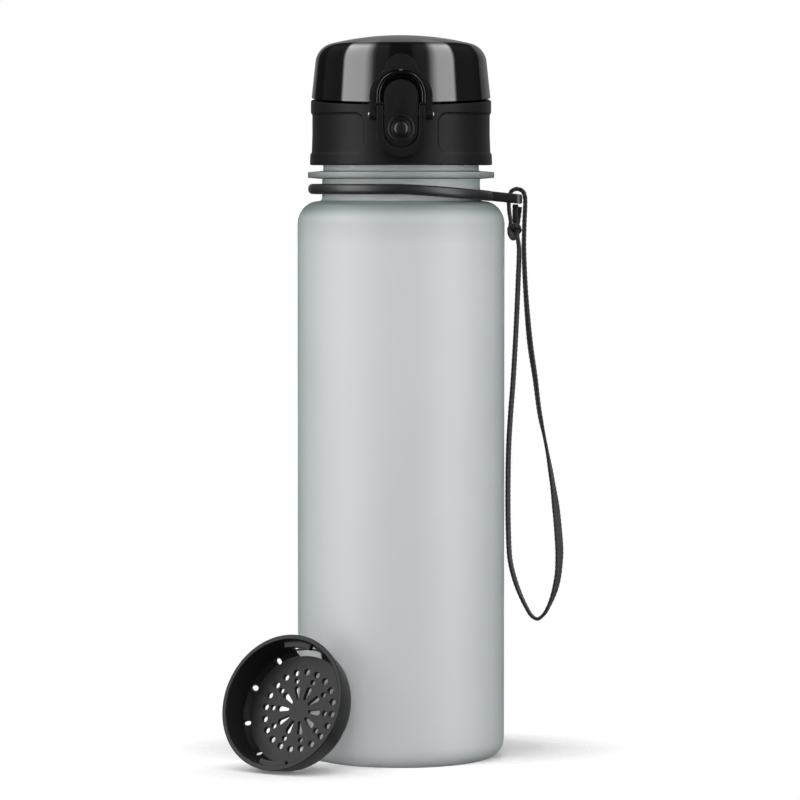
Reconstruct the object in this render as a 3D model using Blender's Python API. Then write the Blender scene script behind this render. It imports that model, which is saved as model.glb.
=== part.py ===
"""Infuser water bottle.

A frosted bottle with a screw cap. The cap has a flip lid on a sprung hinge, held
shut by a rocker latch and by a lock ring that swings over the lid's front arch.
A silicone carry band with a laced wrist strap sits under the neck flange, and the
perforated strainer cup, taken out, leans on the bottle.

Metres, +Z up. The front, with the latch, faces -Y. The origin is the centre of the
bottle's flat base.
"""

import math

import bmesh
import bpy
from mathutils import Matrix, Vector

# General fits and facet counts
touch_gap = 0.0003
cut_overrun = 0.0020
merge_distance = 0.000001
outer_steps = 44
inner_steps = 36
small_steps = 12
tiny_steps = 8
corner_points = 4
hidden_steps = 2

# Bottle
bottle_radius = 0.0330
bottle_wall = 0.0017
base_thickness = 0.0030
base_round = 0.0064
body_height = 0.1706
shoulder_height = 0.00745
neck_fillet = 0.00035
band_seat_height = 0.0073
flange_thickness = 0.0020
flange_overhang = 0.0010
flange_round = 0.0004
band_seat_step = 0.0004
thread_neck_radius = 0.0248
thread_neck_height = 0.0157
neck_wall = 0.0019
lip_round = 0.0004

neck_radius = thread_neck_radius + band_seat_step
neck_bore_radius = thread_neck_radius - neck_wall
shoulder_top = body_height + shoulder_height
flange_bottom = shoulder_top + band_seat_height
flange_top = flange_bottom + flange_thickness
neck_top = flange_top + thread_neck_height

# Neck seal, between the neck's lip and the deck of the inner cap
seal_thickness = 0.0015
seal_bottom = neck_top + touch_gap
seal_top = seal_bottom + seal_thickness

# Inner cap: threaded skirt, deck, drinking spout and bayonet ring for the strainer
thread_depth = 0.0013
skirt_wall = 0.0010
skirt_lift = 0.0029
deck_thickness = 0.0015
spout_radius = 0.0126
spout_wall = 0.0018
spout_height = 0.0115
spout_fillet = 0.0006
spout_lip_share = 1 / 3
bayonet_length = 0.0070
bayonet_wall = 0.0016
bayonet_chamfer = 0.0003
bayonet_tab_height = 0.0014
bayonet_tab_reach = 0.0010
bayonet_tab_angle = math.radians(26)

skirt_inner_radius = thread_neck_radius + thread_depth
skirt_outer_radius = skirt_inner_radius + skirt_wall
skirt_bottom = flange_top + skirt_lift
deck_bottom = seal_top + touch_gap
deck_top = deck_bottom + deck_thickness
spout_bore_radius = spout_radius - spout_wall
spout_top = deck_top + spout_height

# Collar: the outer grip shell with the latch boss and the hinge ears
collar_wall = 0.0013
collar_gap = 0.0021
collar_flare = 0.00035
collar_chamfer = 0.0003
collar_waist_height = 0.0096
ledge_thickness = 0.0010
ledge_reach = 0.0024
rim_step = 0.0005
collar_rim_height = 0.0035
parting_slope = math.tan(math.radians(3.8))
parting_gap = 0.0006
grip_depth = 0.00035
grip_start_angle = math.radians(24)
grip_end_angle = math.radians(152)
grip_bottom_margin = 0.0037
grip_height = 0.0126
grip_round = 0.0032

collar_inner_radius = skirt_outer_radius + touch_gap
collar_radius = collar_inner_radius + collar_wall
flange_radius = collar_radius + flange_overhang
collar_bottom = flange_top + collar_gap
ledge_bottom = deck_top + touch_gap
ledge_top = ledge_bottom + ledge_thickness
parting_height = deck_top + collar_rim_height
seal_radius = skirt_inner_radius - touch_gap

# Lid: glossy cover, liner and spout seal
lid_setback = 0.00025
lid_wall = 0.0017
lid_draft = math.radians(6)
lid_rise = 0.0200
lid_dome_radius = 0.1040
lid_edge_round = 0.0078
lid_rim_chamfer = 0.0002
liner_thickness = 0.0014
liner_holder_wall = 0.0012
liner_holder_drop = 0.0024
plug_flange_thickness = 0.0009
plug_flange_reach = 0.0008
plug_depth = 0.0018
plug_taper = 0.0008

lid_radius = collar_radius - lid_setback
lid_bottom = parting_height + parting_gap
lid_top = lid_bottom + lid_rise
plug_flange_bottom = spout_top + touch_gap
plug_top = plug_flange_bottom + plug_flange_thickness
liner_bottom = plug_top + touch_gap
liner_top = liner_bottom + liner_thickness
plug_flange_radius = spout_radius + plug_flange_reach

# Front latch: boss on the collar, arch on the lid, rocker, pin, spring and button
latch_half_width = 0.00525
latch_thickness = 0.0024
latch_drop = 0.0098
latch_reach = 0.0109
latch_pin_radius = 0.00075
latch_pin_clearance = 0.00025
latch_pin_standoff = 0.0008
latch_pin_drop = 0.0050
latch_hub_radius = 0.0016
hub_root_share = 1 / 3
latch_pocket_gap = 0.00035
boss_side = 0.0020
boss_drop = 0.0011
latch_pocket_drop = 0.0005
boss_proud = 0.0006
arch_rim = 0.00105
arch_rise = 0.0140
arch_proud = 0.0003
arch_floor_setback = 0.00045
arch_drop = 0.0001
arch_bite_share = 0.9
hook_half_width = 0.0029
hook_height = 0.0018
hook_drop = 0.0006
hook_reach = 0.0015
hook_chamfer = 0.0008
window_margin = 0.0003
window_headroom = 0.0008
button_drop = 0.0044
button_well_radius = 0.00425
button_well_depth = 0.00035
button_seat_radius = 0.0036
button_seat_depth = 0.0007
button_radius = 0.0024
button_height = 0.0009
button_edge = 0.0002
button_stem_radius = 0.0008
button_stem_length = 0.0008
latch_spring_drop = 0.0072
latch_spring_radius = 0.00095
latch_spring_wire = 0.0002
latch_spring_turns = 2
latch_spring_pocket_depth = 0.0012
latch_spring_pocket_radius = 0.0015

pocket_half_width = latch_half_width + latch_pocket_gap
pocket_back = touch_gap - math.sqrt(collar_inner_radius ** 2 - pocket_half_width ** 2)
boss_half_width = pocket_half_width + boss_side
latch_pin_y = -(collar_radius + latch_pin_standoff)
latch_pin_z = parting_height - latch_pin_drop
latch_hole_radius = latch_pin_radius + latch_pin_clearance
latch_front = latch_pin_y - latch_hub_radius
latch_back = latch_front + latch_thickness
latch_low = latch_pin_z - latch_drop
latch_high = latch_pin_z + latch_reach
boss_front = latch_front - boss_proud
arch_front = latch_front - arch_proud
arch_half_width = boss_half_width
arch_top = latch_pin_z + arch_rise
arch_centre = arch_top - arch_half_width
arch_pocket_floor = -(lid_radius - arch_floor_setback)
hook_top = latch_high - hook_drop
hook_bottom = hook_top - hook_height
hook_tip = latch_back + hook_reach
button_z = latch_pin_z - button_drop
latch_spring_z = latch_pin_z - latch_spring_drop

# Lock ring: a bail on the latch pin's ends, with a thumb tab
ring_gap = 0.0003
ring_band = 0.00195
ring_half_thickness = 0.0012
ring_eye_radius = 0.0016
ring_tab_radius = 0.0048
ring_tab_offset = 0.0081
pin_overhang = 0.0004

ring_inner_half_width = boss_half_width + ring_gap
ring_outer_half_width = ring_inner_half_width + ring_band
latch_pin_half_length = ring_outer_half_width + pin_overhang

# Back hinge: ears on the collar, knuckles on the lid, pin and torsion spring
hinge_standoff = 0.0003
hinge_rise = 0.0021
knuckle_radius = 0.0026
hinge_pin_radius = 0.0010
hinge_pin_clearance = 0.00025
knuckle_half_width = 0.0067
ear_width = 0.0036
spring_slot_half_width = 0.0039
knuckle_root_depth = 0.0026
knuckle_root_rise = 0.0060
ear_root_drop = 0.0060
root_thickness = 0.0018
ear_root_angle = math.radians(25)
ear_back_angle = math.radians(5)
hinge_spring_radius = 0.00175
hinge_spring_wire = 0.0003
hinge_spring_turns = 6
hinge_spring_margin = 0.0004

hinge_y = collar_radius + hinge_standoff
hinge_z = parting_height + hinge_rise
hinge_hole_radius = hinge_pin_radius + hinge_pin_clearance
notch_radius = knuckle_radius + touch_gap
ear_inner = knuckle_half_width + touch_gap
ear_outer = ear_inner + ear_width
hinge_pin_half_length = ear_outer + touch_gap
ear_root_y = math.sqrt(collar_radius ** 2 - ear_outer ** 2) - touch_gap

# Carry band: silicone ring round the neck, with a tab and an eyelet
band_section_width = 0.0041
band_section_height = 0.0033
band_corner = 0.0009
band_clear_of_flange = 0.00165
band_sag = 0.0032
band_steps = 36
tab_overhang = 0.0052
tab_bite = 0.0007
tab_half_width = 0.0040
tab_thickness = 0.0026
tab_chamfer = 0.0006
eyelet_bar = 0.0023
eyelet_length = 0.0026
eyelet_half_width = 0.0022

band_inner_radius = neck_radius + touch_gap
band_outer_radius = band_inner_radius + band_section_width
band_centre_height = flange_bottom - band_clear_of_flange - band_section_height / 2
tab_start = band_inner_radius + tab_bite
tab_end = bottle_radius + tab_overhang
bar_x = tab_end - eyelet_bar / 2
bar_z = band_centre_height - band_sag * bar_x / tab_end

# Wrist strap: one flat lace, a loop over the eyelet bar and a loop for the hand.
# Its places are drawn for a bar at lace_drawn_bar and move with the real bar.
lace_drawn_bar = (0.03705, 0.0, 0.17894)
lace_tube_radius = 0.00075
lace_span = 0.0052
knot_centre = (0.03565, 0.0, 0.1685)
knot_half_width = 0.00195
knot_half_depth = 0.0021
knot_half_height = 0.0028
knot_lobe_share = 0.13
knot_fullness = 0.7
knot_lobes = 3
lace_end_radius = 0.0006
lace_ends = (
    ((0.0362, -0.0005, 0.1690), (0.03635, -0.0005, 0.1767)),
    ((0.0369, 0.0005, 0.1690), (0.0376, 0.0005, 0.1760)),
)
lace_route = (
    (0.03700, 0.0, 0.1654),
    (0.03760, 0.0, 0.1620),
    (0.03730, -0.0003, 0.1523),
    (0.03670, -0.0005, 0.1370),
    (0.03580, -0.0008, 0.1209),
    (0.03500, -0.0010, 0.1103),
    (0.03440, -0.0010, 0.0998),
    (0.03420, -0.0010, 0.0892),
    (0.03420, -0.0010, 0.0786),
    (0.03450, -0.0008, 0.0680),
    (0.03500, -0.0006, 0.0627),
    (0.03630, -0.0004, 0.0574),
    (0.03820, -0.0002, 0.0521),
    (0.04060, 0.0, 0.0472),
    (0.04200, 0.0, 0.0452),
    (0.04370, 0.0, 0.0443),
    (0.04540, 0.0, 0.0454),
    (0.04680, 0.0, 0.0474),
    (0.04880, 0.0, 0.0521),
    (0.05010, 0.0, 0.0574),
    (0.05060, 0.0, 0.0627),
    (0.05060, 0.0, 0.0680),
    (0.04970, 0.0, 0.0786),
    (0.04825, 0.0, 0.0892),
    (0.04640, 0.0, 0.0998),
    (0.04430, 0.0, 0.1103),
    (0.04280, 0.0, 0.1218),
    (0.04130, 0.0, 0.1319),
    (0.04030, 0.0, 0.1421),
    (0.03960, 0.0, 0.1523),
    (0.03920, 0.0, 0.1625),
    (0.03930, 0.0, 0.1700),
    (0.03950, 0.0, 0.1750),
    (0.03955, 0.0, 0.1789),
    (0.03882, 0.0, 0.1807),
    (0.03705, 0.0, 0.1814),
    (0.03528, 0.0, 0.1807),
    (0.03455, 0.0, 0.1789),
    (0.03440, 0.0, 0.1755),
    (0.03455, 0.0, 0.1714),
)

# Strainer cup, in its own frame: closed end down, mouth up
strainer_clearance = 0.0009
strainer_height = 0.0121
strainer_wall = 0.0015
strainer_end_step = 0.0021
strainer_heel_step = 0.0018
strainer_heel_height = 0.0037
strainer_knuckle_step = 0.0004
strainer_knuckle_rise = 0.0009
strainer_floor = 0.0018
strainer_disc_step = 0.0027
strainer_foot_height = 0.0037
strainer_foot_step = 0.0013
strainer_rim_round = 0.0003
strainer_steps = 40
ring_hole_count = 20
ring_hole_radius = 0.0011
ring_hole_share = 0.702
inner_hole_count = 10
inner_hole_radius = 0.00095
inner_hole_share = 0.551
edge_hole_radius = 0.00095
edge_hole_margin = 0.00065
edge_place_count = 10
slot_angle = math.radians(30)
slot_half_width = 0.0009
slot_headroom = 0.0004
drop_outer_share = 0.402
drop_inner_share = 0.228
drop_outer_radius = 0.0010
drop_inner_radius = 0.00035
pattern_turn = math.radians(-1.5)
slot_turn = math.radians(89)
lug_angle = math.radians(30)
lug_low = 0.0085
lug_height = 0.0016
lug_reach = 0.0016
lug_root_share = 1 / 3
strainer_bearing = math.radians(-32.3)
strainer_tilt = math.radians(20.5)
strainer_side_share = -0.95

strainer_radius = neck_bore_radius - strainer_clearance
strainer_mouth_radius = strainer_radius - strainer_wall
strainer_heel_radius = strainer_radius - strainer_heel_step
strainer_end_radius = strainer_heel_radius - strainer_end_step
strainer_foot_radius = strainer_mouth_radius - strainer_foot_step
strainer_disc_radius = strainer_mouth_radius - strainer_disc_step
edge_hole_circle = strainer_foot_radius - edge_hole_margin
ring_hole_circle = strainer_disc_radius * ring_hole_share
inner_hole_circle = strainer_disc_radius * inner_hole_share
drop_outer_circle = strainer_disc_radius * drop_outer_share
drop_inner_circle = strainer_disc_radius * drop_inner_share
lug_root = strainer_wall * lug_root_share
lug_radius = strainer_mouth_radius - lug_reach - lug_root
bayonet_radius = lug_radius - touch_gap
bayonet_inner_radius = bayonet_radius - bayonet_wall


def clear_scene():
    for item in list(bpy.data.objects):
        bpy.data.objects.remove(item, do_unlink=True)


def make_material(name, color, roughness, metallic=0.0, alpha=1.0):
    material = bpy.data.materials.new(name)
    material.use_nodes = True
    shader = material.node_tree.nodes["Principled BSDF"]
    shader.inputs["Base Color"].default_value = (*color, 1.0)
    shader.inputs["Roughness"].default_value = roughness
    shader.inputs["Metallic"].default_value = metallic
    shader.inputs["Alpha"].default_value = alpha
    return material


def add_object(name, data, material=None):
    item = bpy.data.objects.new(name, data)
    bpy.context.scene.collection.objects.link(item)
    if material:
        data.materials.append(material)
    return item


def finish_mesh(name, shape, material=None, smooth_angle=math.radians(35)):
    """Turn a bmesh into an object, with its faces outwards and round parts smooth."""
    bmesh.ops.recalc_face_normals(shape, faces=shape.faces)
    mesh = bpy.data.meshes.new(name)
    shape.to_mesh(mesh)
    shape.free()
    mesh.shade_smooth()
    mesh.set_sharp_from_angle(angle=smooth_angle)
    return add_object(name, mesh, material)


def arc(centre, radius, start, end, count=corner_points):
    """Points on an arc, or on an elliptical one where radius is a pair."""
    across, up = radius if isinstance(radius, tuple) else (radius, radius)
    angles = [start + (end - start) * i / count for i in range(count + 1)]
    return [(centre[0] + across * math.cos(a), centre[1] + up * math.sin(a)) for a in angles]


def in_flat_disc(point):
    """Whether a point is the middle of a flat fan of faces on the axis."""
    if math.hypot(point.co.x, point.co.y) > merge_distance:
        return False
    rises = [abs(edge.other_vert(point).co.z - point.co.z) for edge in point.link_edges]
    return max(rises) < merge_distance


def turned(name, outline, steps, material=None):
    """Spin a closed outline of (radius, height) points about Z."""
    shape = bmesh.new()
    points = [shape.verts.new((radius, 0, height)) for radius, height in outline]
    edges = [shape.edges.new(pair) for pair in zip(points, points[1:])]
    if outline[0][0] > 0:
        edges.append(shape.edges.new((points[-1], points[0])))
    bmesh.ops.spin(
        shape, geom=points + edges, axis=(0, 0, 1), cent=(0, 0, 0),
        angle=math.tau, steps=steps, use_merge=True,
    )
    bmesh.ops.remove_doubles(shape, verts=shape.verts, dist=merge_distance)
    bmesh.ops.delete(shape, geom=[edge for edge in shape.edges if not edge.link_faces], context="EDGES")
    bmesh.ops.dissolve_verts(shape, verts=[v for v in shape.verts if in_flat_disc(v)])
    return finish_mesh(name, shape, material)


def carried(name, outline, place, low, high, material=None):
    """Carry a closed flat outline from low to high; place maps (u, v, w) to a point."""
    shape = bmesh.new()
    near = [shape.verts.new(place(u, v, low)) for u, v in outline]
    far = [shape.verts.new(place(u, v, high)) for u, v in outline]
    shape.faces.new(near)
    shape.faces.new(reversed(far))
    for i in range(len(outline)):
        shape.faces.new((near[i - 1], near[i], far[i], far[i - 1]))
    return finish_mesh(name, shape, material)


def along_y(u, v, w):
    return (u, w, v)


def along_x(u, v, w):
    return (w, u, v)


def along_z(u, v, w):
    return (u, v, w)


def rod_along_x(name, y, z, radius, low, high, steps=small_steps, material=None):
    circle = arc((y, z), radius, 0, math.tau, steps)[:-1]
    return carried(name, circle, along_x, low, high, material)


def as_tool(item):
    item.hide_render = True
    item.display_type = "WIRE"
    return item


def change(target, tool, operation):
    modifier = target.modifiers.new(tool.name, "BOOLEAN")
    modifier.operation = operation
    modifier.solver = "EXACT"
    modifier.object = as_tool(tool)


def cut(target, tool):
    change(target, tool, "DIFFERENCE")


def join(target, tool):
    change(target, tool, "UNION")


def pivot_at(name, place):
    pivot = bpy.data.objects.new(name, None)
    pivot.location = place
    bpy.context.scene.collection.objects.link(pivot)
    return pivot


def hang_on(pivot, *pieces):
    for piece in pieces:
        piece.parent = pivot
        piece.location = piece.location - pivot.location


def lean_rim(item, above, slope):
    """Lean the flat rim of a turned piece: every point above a height moves with Y."""
    for vertex in item.data.vertices:
        if above(vertex.co):
            vertex.co.z += slope * vertex.co.y
    item.data.update()


def make_bottle(material):
    shoulder_reach = bottle_radius - neck_radius - neck_fillet
    corner = neck_radius + neck_fillet
    base_inner_round = max(base_round - bottle_wall, merge_distance)
    inner_radius = bottle_radius - bottle_wall
    quarter = math.pi / 2
    outline = [(0, 0)]
    outline += arc((bottle_radius - base_round, base_round), base_round, -quarter, 0)
    outline += arc((corner, body_height), (shoulder_reach, shoulder_height), 0, quarter)
    outline += [
        (neck_radius, shoulder_top + neck_fillet),
        (neck_radius, flange_bottom),
        (flange_radius - flange_round, flange_bottom),
        (flange_radius, flange_bottom + flange_round),
        (flange_radius, flange_top - flange_round),
        (flange_radius - flange_round, flange_top),
        (thread_neck_radius, flange_top),
        (thread_neck_radius, neck_top - lip_round),
        (thread_neck_radius - lip_round, neck_top),
        (neck_bore_radius + lip_round, neck_top),
        (neck_bore_radius, neck_top - lip_round),
        (neck_bore_radius, shoulder_top - bottle_wall),
    ]
    inner_reach = (shoulder_reach - bottle_wall, shoulder_height - bottle_wall)
    outline += arc((corner, body_height), inner_reach, quarter, 0, hidden_steps + 1)
    inner_corner = (inner_radius - base_inner_round, base_thickness + base_inner_round)
    outline += arc(inner_corner, base_inner_round, 0, -quarter, hidden_steps)
    outline.append((0, base_thickness))
    return turned("bottle", outline, outer_steps, material)


def make_neck_seal(material):
    inner = neck_bore_radius - touch_gap
    outline = [
        (inner, seal_bottom),
        (seal_radius, seal_bottom),
        (seal_radius, seal_top),
        (inner, seal_top),
    ]
    return turned("neck_seal", outline, inner_steps, material)


def sector(name, inner, outer, low, high, middle, width, material=None):
    """A block that follows an arc about Z, for tabs and lugs."""
    count = max(2, math.ceil(width * outer_steps / math.tau))
    outline = arc((0, 0), inner, middle - width / 2, middle + width / 2, count)
    outline += arc((0, 0), outer, middle + width / 2, middle - width / 2, count)
    return carried(name, outline, along_z, low, high, material)


def make_inner_cap(material):
    bayonet_bottom = deck_bottom - bayonet_length
    lip = spout_wall * spout_lip_share
    outline = [
        (skirt_inner_radius, skirt_bottom),
        (skirt_outer_radius, skirt_bottom),
        (skirt_outer_radius, deck_top),
        (spout_radius + spout_fillet, deck_top),
        (spout_radius, deck_top + spout_fillet),
        (spout_radius, spout_top - lip),
        (spout_radius - lip, spout_top),
        (spout_bore_radius + lip, spout_top),
        (spout_bore_radius, spout_top - lip),
        (spout_bore_radius, deck_bottom),
        (bayonet_inner_radius, deck_bottom),
        (bayonet_inner_radius, bayonet_bottom),
        (bayonet_radius - bayonet_chamfer, bayonet_bottom),
        (bayonet_radius, bayonet_bottom + bayonet_chamfer),
        (bayonet_radius, deck_bottom),
        (skirt_inner_radius, deck_bottom),
    ]
    cap = turned("inner_cap", outline, inner_steps, material)
    root = bayonet_radius - bayonet_wall / 2
    tab_outer = bayonet_radius + bayonet_tab_reach
    tab_low = bayonet_bottom + bayonet_chamfer
    for name, middle in (("bayonet_tab_a", 0.0), ("bayonet_tab_b", math.pi)):
        tab_high = tab_low + bayonet_tab_height
        join(cap, sector(name, root, tab_outer, tab_low, tab_high, middle, bayonet_tab_angle))
    return cap


def u_outline(half_width, centre_z, top):
    """A U in the XZ plane: open straight top, round bottom; top maps side to height."""
    bottom = arc((0, centre_z), half_width, math.pi, math.tau, 2 * corner_points + 2)
    return [(half_width, top), (-half_width, top)] + bottom


def arch_outline(half_width, centre_z, bottom):
    top = arc((0, centre_z), half_width, 0, math.pi, 2 * corner_points + 2)
    return [(-half_width, bottom), (half_width, bottom)] + top


def make_grip_cutter(name, side):
    """A shallow panel with round corners, wrapped round one side of the collar."""
    inner = collar_radius - grip_depth
    outer = collar_radius + cut_overrun
    bottom = collar_bottom + grip_bottom_margin
    start = grip_start_angle * collar_radius
    end = grip_end_angle * collar_radius
    quarter = math.pi / 2
    top = bottom + grip_height
    outline = arc((start + grip_round, bottom + grip_round), grip_round, 2 * quarter, 3 * quarter)
    count = round((end - start) / (collar_radius * math.tau / outer_steps))
    flat = end - start - 2 * grip_round
    outline += [(start + grip_round + flat * i / count, bottom) for i in range(1, count)]
    outline += arc((end - grip_round, bottom + grip_round), grip_round, 3 * quarter, 4 * quarter)
    outline += arc((end - grip_round, top - grip_round), grip_round, 0, quarter)
    outline += [(end - grip_round - flat * i / count, top) for i in range(1, count)]
    outline += arc((start + grip_round, top - grip_round), grip_round, quarter, 2 * quarter)
    shape = bmesh.new()
    columns = {}
    for along, height in outline:
        columns.setdefault(round(along / merge_distance), []).append((along, height))
    order = sorted(columns)
    rings = []
    for key in order:
        along = columns[key][0][0]
        low = min(height for _, height in columns[key])
        high = max(height for _, height in columns[key])
        angle = -quarter + side * along / collar_radius
        direction = Vector((math.cos(angle), math.sin(angle), 0))
        corners = [(inner, low), (inner, high), (outer, high), (outer, low)]
        rings.append([shape.verts.new(direction * radius + Vector((0, 0, z))) for radius, z in corners])
    for one, two in zip(rings, rings[1:]):
        for i in range(len(one)):
            shape.faces.new((one[i - 1], one[i], two[i], two[i - 1]))
    shape.faces.new(rings[0])
    shape.faces.new(reversed(rings[-1]))
    bmesh.ops.remove_doubles(shape, verts=shape.verts, dist=merge_distance)
    return finish_mesh(name, shape)


def make_collar(material):
    waist = collar_bottom + collar_waist_height
    rim_inner = collar_inner_radius - rim_step
    outline = [
        (collar_inner_radius, collar_bottom),
        (collar_radius + collar_flare - collar_chamfer, collar_bottom),
        (collar_radius + collar_flare, collar_bottom + collar_chamfer),
        (collar_radius, waist),
        (collar_radius, parting_height - collar_chamfer),
        (collar_radius - collar_chamfer, parting_height),
        (rim_inner, parting_height),
        (rim_inner, ledge_top),
        (collar_inner_radius - ledge_reach, ledge_top),
        (collar_inner_radius - ledge_reach, ledge_bottom),
        (collar_inner_radius, ledge_bottom),
    ]
    collar = turned("collar", outline, outer_steps, material)
    rim_floor = parting_height - 2 * collar_chamfer
    lean_rim(collar, lambda co: co.z > rim_floor, parting_slope)

    for name, side in (("right_grip_cutter", 1), ("left_grip_cutter", -1)):
        cut(collar, make_grip_cutter(name, side))

    latch_centre = latch_low + latch_half_width
    boss_back = -(collar_radius - collar_wall / 2)
    boss = carried("latch_boss", u_outline(boss_half_width, latch_centre - boss_drop, parting_height),
                   along_y, boss_front, boss_back)
    lean_rim(boss, lambda co: co.z > rim_floor, parting_slope)
    join(collar, boss)
    pocket_centre = latch_centre - latch_pocket_drop
    pocket = u_outline(pocket_half_width, pocket_centre, parting_height + cut_overrun)
    cut(collar, carried("latch_pocket", pocket, along_y, boss_front - cut_overrun, pocket_back))
    cut(collar, rod_along_x("latch_pin_bore", latch_pin_y, latch_pin_z, latch_hole_radius,
                            -boss_half_width - cut_overrun, boss_half_width + cut_overrun))

    notch_half = ear_inner + touch_gap / 2
    cut(collar, rod_along_x("knuckle_notch", hinge_y, hinge_z, notch_radius,
                            -notch_half, notch_half, 2 * small_steps))
    for name, side in (("left_ear", -1), ("right_ear", 1)):
        back_angle = math.pi - ear_back_angle
        ear = arc((hinge_y, hinge_z), knuckle_radius, -ear_root_angle, back_angle, 2 * corner_points)
        root_z = hinge_z - ear_root_drop
        ear += [(ear_root_y, root_z), (ear_root_y + root_thickness, root_z)]
        inner, outer = sorted((side * ear_inner, side * ear_outer))
        join(collar, carried(name, ear, along_x, inner, outer))
    cut(collar, rod_along_x("hinge_bore", hinge_y, hinge_z, hinge_hole_radius,
                            -ear_outer - cut_overrun, ear_outer + cut_overrun))
    return collar


def lid_edge_centre():
    """Centre of the arc that runs from the drafted wall into the dome, touching both."""
    wall_offset = lid_radius * math.cos(lid_draft) + lid_bottom * math.sin(lid_draft) - lid_edge_round
    dome_z = lid_top - lid_dome_radius
    reach = lid_dome_radius - lid_edge_round
    slope = math.tan(lid_draft)
    start = wall_offset / math.cos(lid_draft) - dome_z * slope
    a = 1 + slope * slope
    b = -2 * start * slope
    c = start * start - reach * reach
    rise = (-b + math.sqrt(b * b - 4 * a * c)) / (2 * a)
    return (start - slope * rise, dome_z + rise)


def make_lid_cover(material):
    centre = lid_edge_centre()
    dome_z = lid_top - lid_dome_radius
    dome_angle = math.atan2(centre[1] - dome_z, centre[0])
    quarter = math.pi / 2
    outline = [(lid_radius - lid_rim_chamfer, lid_bottom), (lid_radius, lid_bottom + lid_rim_chamfer)]
    outline += arc(centre, lid_edge_round, lid_draft, dome_angle, corner_points)
    outline += arc((0, dome_z), lid_dome_radius, dome_angle, quarter, corner_points - 1)[1:-1]
    outline += [(0, lid_top), (0, lid_top - lid_wall)]
    outline += arc((0, dome_z), lid_dome_radius - lid_wall, quarter, dome_angle, hidden_steps)[1:-1]
    outline += arc(centre, lid_edge_round - lid_wall, dome_angle, lid_draft, hidden_steps)
    outline.append((lid_radius - lid_wall, lid_bottom))
    lid = turned("lid_cover", outline, outer_steps, material)
    rim_ceiling = lid_bottom + 2 * lid_rim_chamfer
    lean_rim(lid, lambda co: co.z < rim_ceiling, parting_slope)

    arch_back = -(lid_radius - lid_wall * arch_bite_share)
    arch = carried("latch_arch", arch_outline(arch_half_width, arch_centre, lid_bottom - arch_drop),
                   along_y, arch_front, arch_back)
    lean_rim(arch, lambda co: co.z < rim_ceiling, parting_slope)
    join(lid, arch)
    pocket = arch_outline(arch_half_width - arch_rim, arch_centre, parting_height - cut_overrun)
    cut(lid, carried("arch_pocket", pocket, along_y, arch_front - cut_overrun, arch_pocket_floor))
    window_half = hook_half_width + window_margin
    window_low = hook_bottom - window_margin
    window_high = hook_top + window_headroom
    window = [
        (-window_half, window_low),
        (window_half, window_low),
        (window_half, window_high),
        (-window_half, window_high),
    ]
    window_back = arch_pocket_floor + 2 * lid_wall
    cut(lid, carried("catch_window", window, along_y, arch_pocket_floor - cut_overrun, window_back))

    for name, side in (("left_ear_notch", -1), ("right_ear_notch", 1)):
        inner, outer = sorted((side * (knuckle_half_width - touch_gap), side * (ear_outer + touch_gap)))
        cut(lid, rod_along_x(name, hinge_y, hinge_z, notch_radius, inner, outer, 2 * small_steps))
    back_angle = ear_back_angle - math.pi
    knuckle = arc((hinge_y, hinge_z), knuckle_radius, back_angle, ear_root_angle, 2 * corner_points)
    root_y = hinge_y - knuckle_root_depth + touch_gap
    root_z = hinge_z + knuckle_root_rise
    knuckle += [(root_y + root_thickness, root_z), (root_y, root_z)]
    join(lid, carried("lid_knuckles", knuckle, along_x, -knuckle_half_width, knuckle_half_width))
    cut(lid, rod_along_x("spring_slot", hinge_y, hinge_z, notch_radius,
                         -spring_slot_half_width, spring_slot_half_width, 2 * small_steps))
    cut(lid, rod_along_x("lid_hinge_bore", hinge_y, hinge_z, hinge_hole_radius,
                         -ear_inner - cut_overrun, ear_inner + cut_overrun))
    return lid


def make_lid_liner(material):
    wall_at_liner = lid_radius - (liner_top - lid_bottom) * math.tan(lid_draft) - lid_wall
    edge = wall_at_liner - touch_gap
    holder_inner = plug_flange_radius + touch_gap
    holder_outer = holder_inner + liner_holder_wall
    holder_bottom = liner_bottom - liner_holder_drop
    outline = [
        (0, liner_bottom),
        (holder_inner, liner_bottom),
        (holder_inner, holder_bottom),
        (holder_outer, holder_bottom),
        (holder_outer, liner_bottom),
        (edge, liner_bottom),
        (edge, liner_top),
        (0, liner_top),
    ]
    return turned("lid_liner", outline, inner_steps, material)


def make_spout_seal(material):
    plug_radius = spout_bore_radius - plug_taper
    outline = [
        (0, plug_flange_bottom - plug_depth),
        (plug_radius - plug_taper, plug_flange_bottom - plug_depth),
        (plug_radius, plug_flange_bottom - plug_depth / 2),
        (plug_radius, plug_flange_bottom),
        (plug_flange_radius, plug_flange_bottom),
        (plug_flange_radius, plug_top),
        (0, plug_top),
    ]
    return turned("spout_seal", outline, inner_steps, material)


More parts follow.
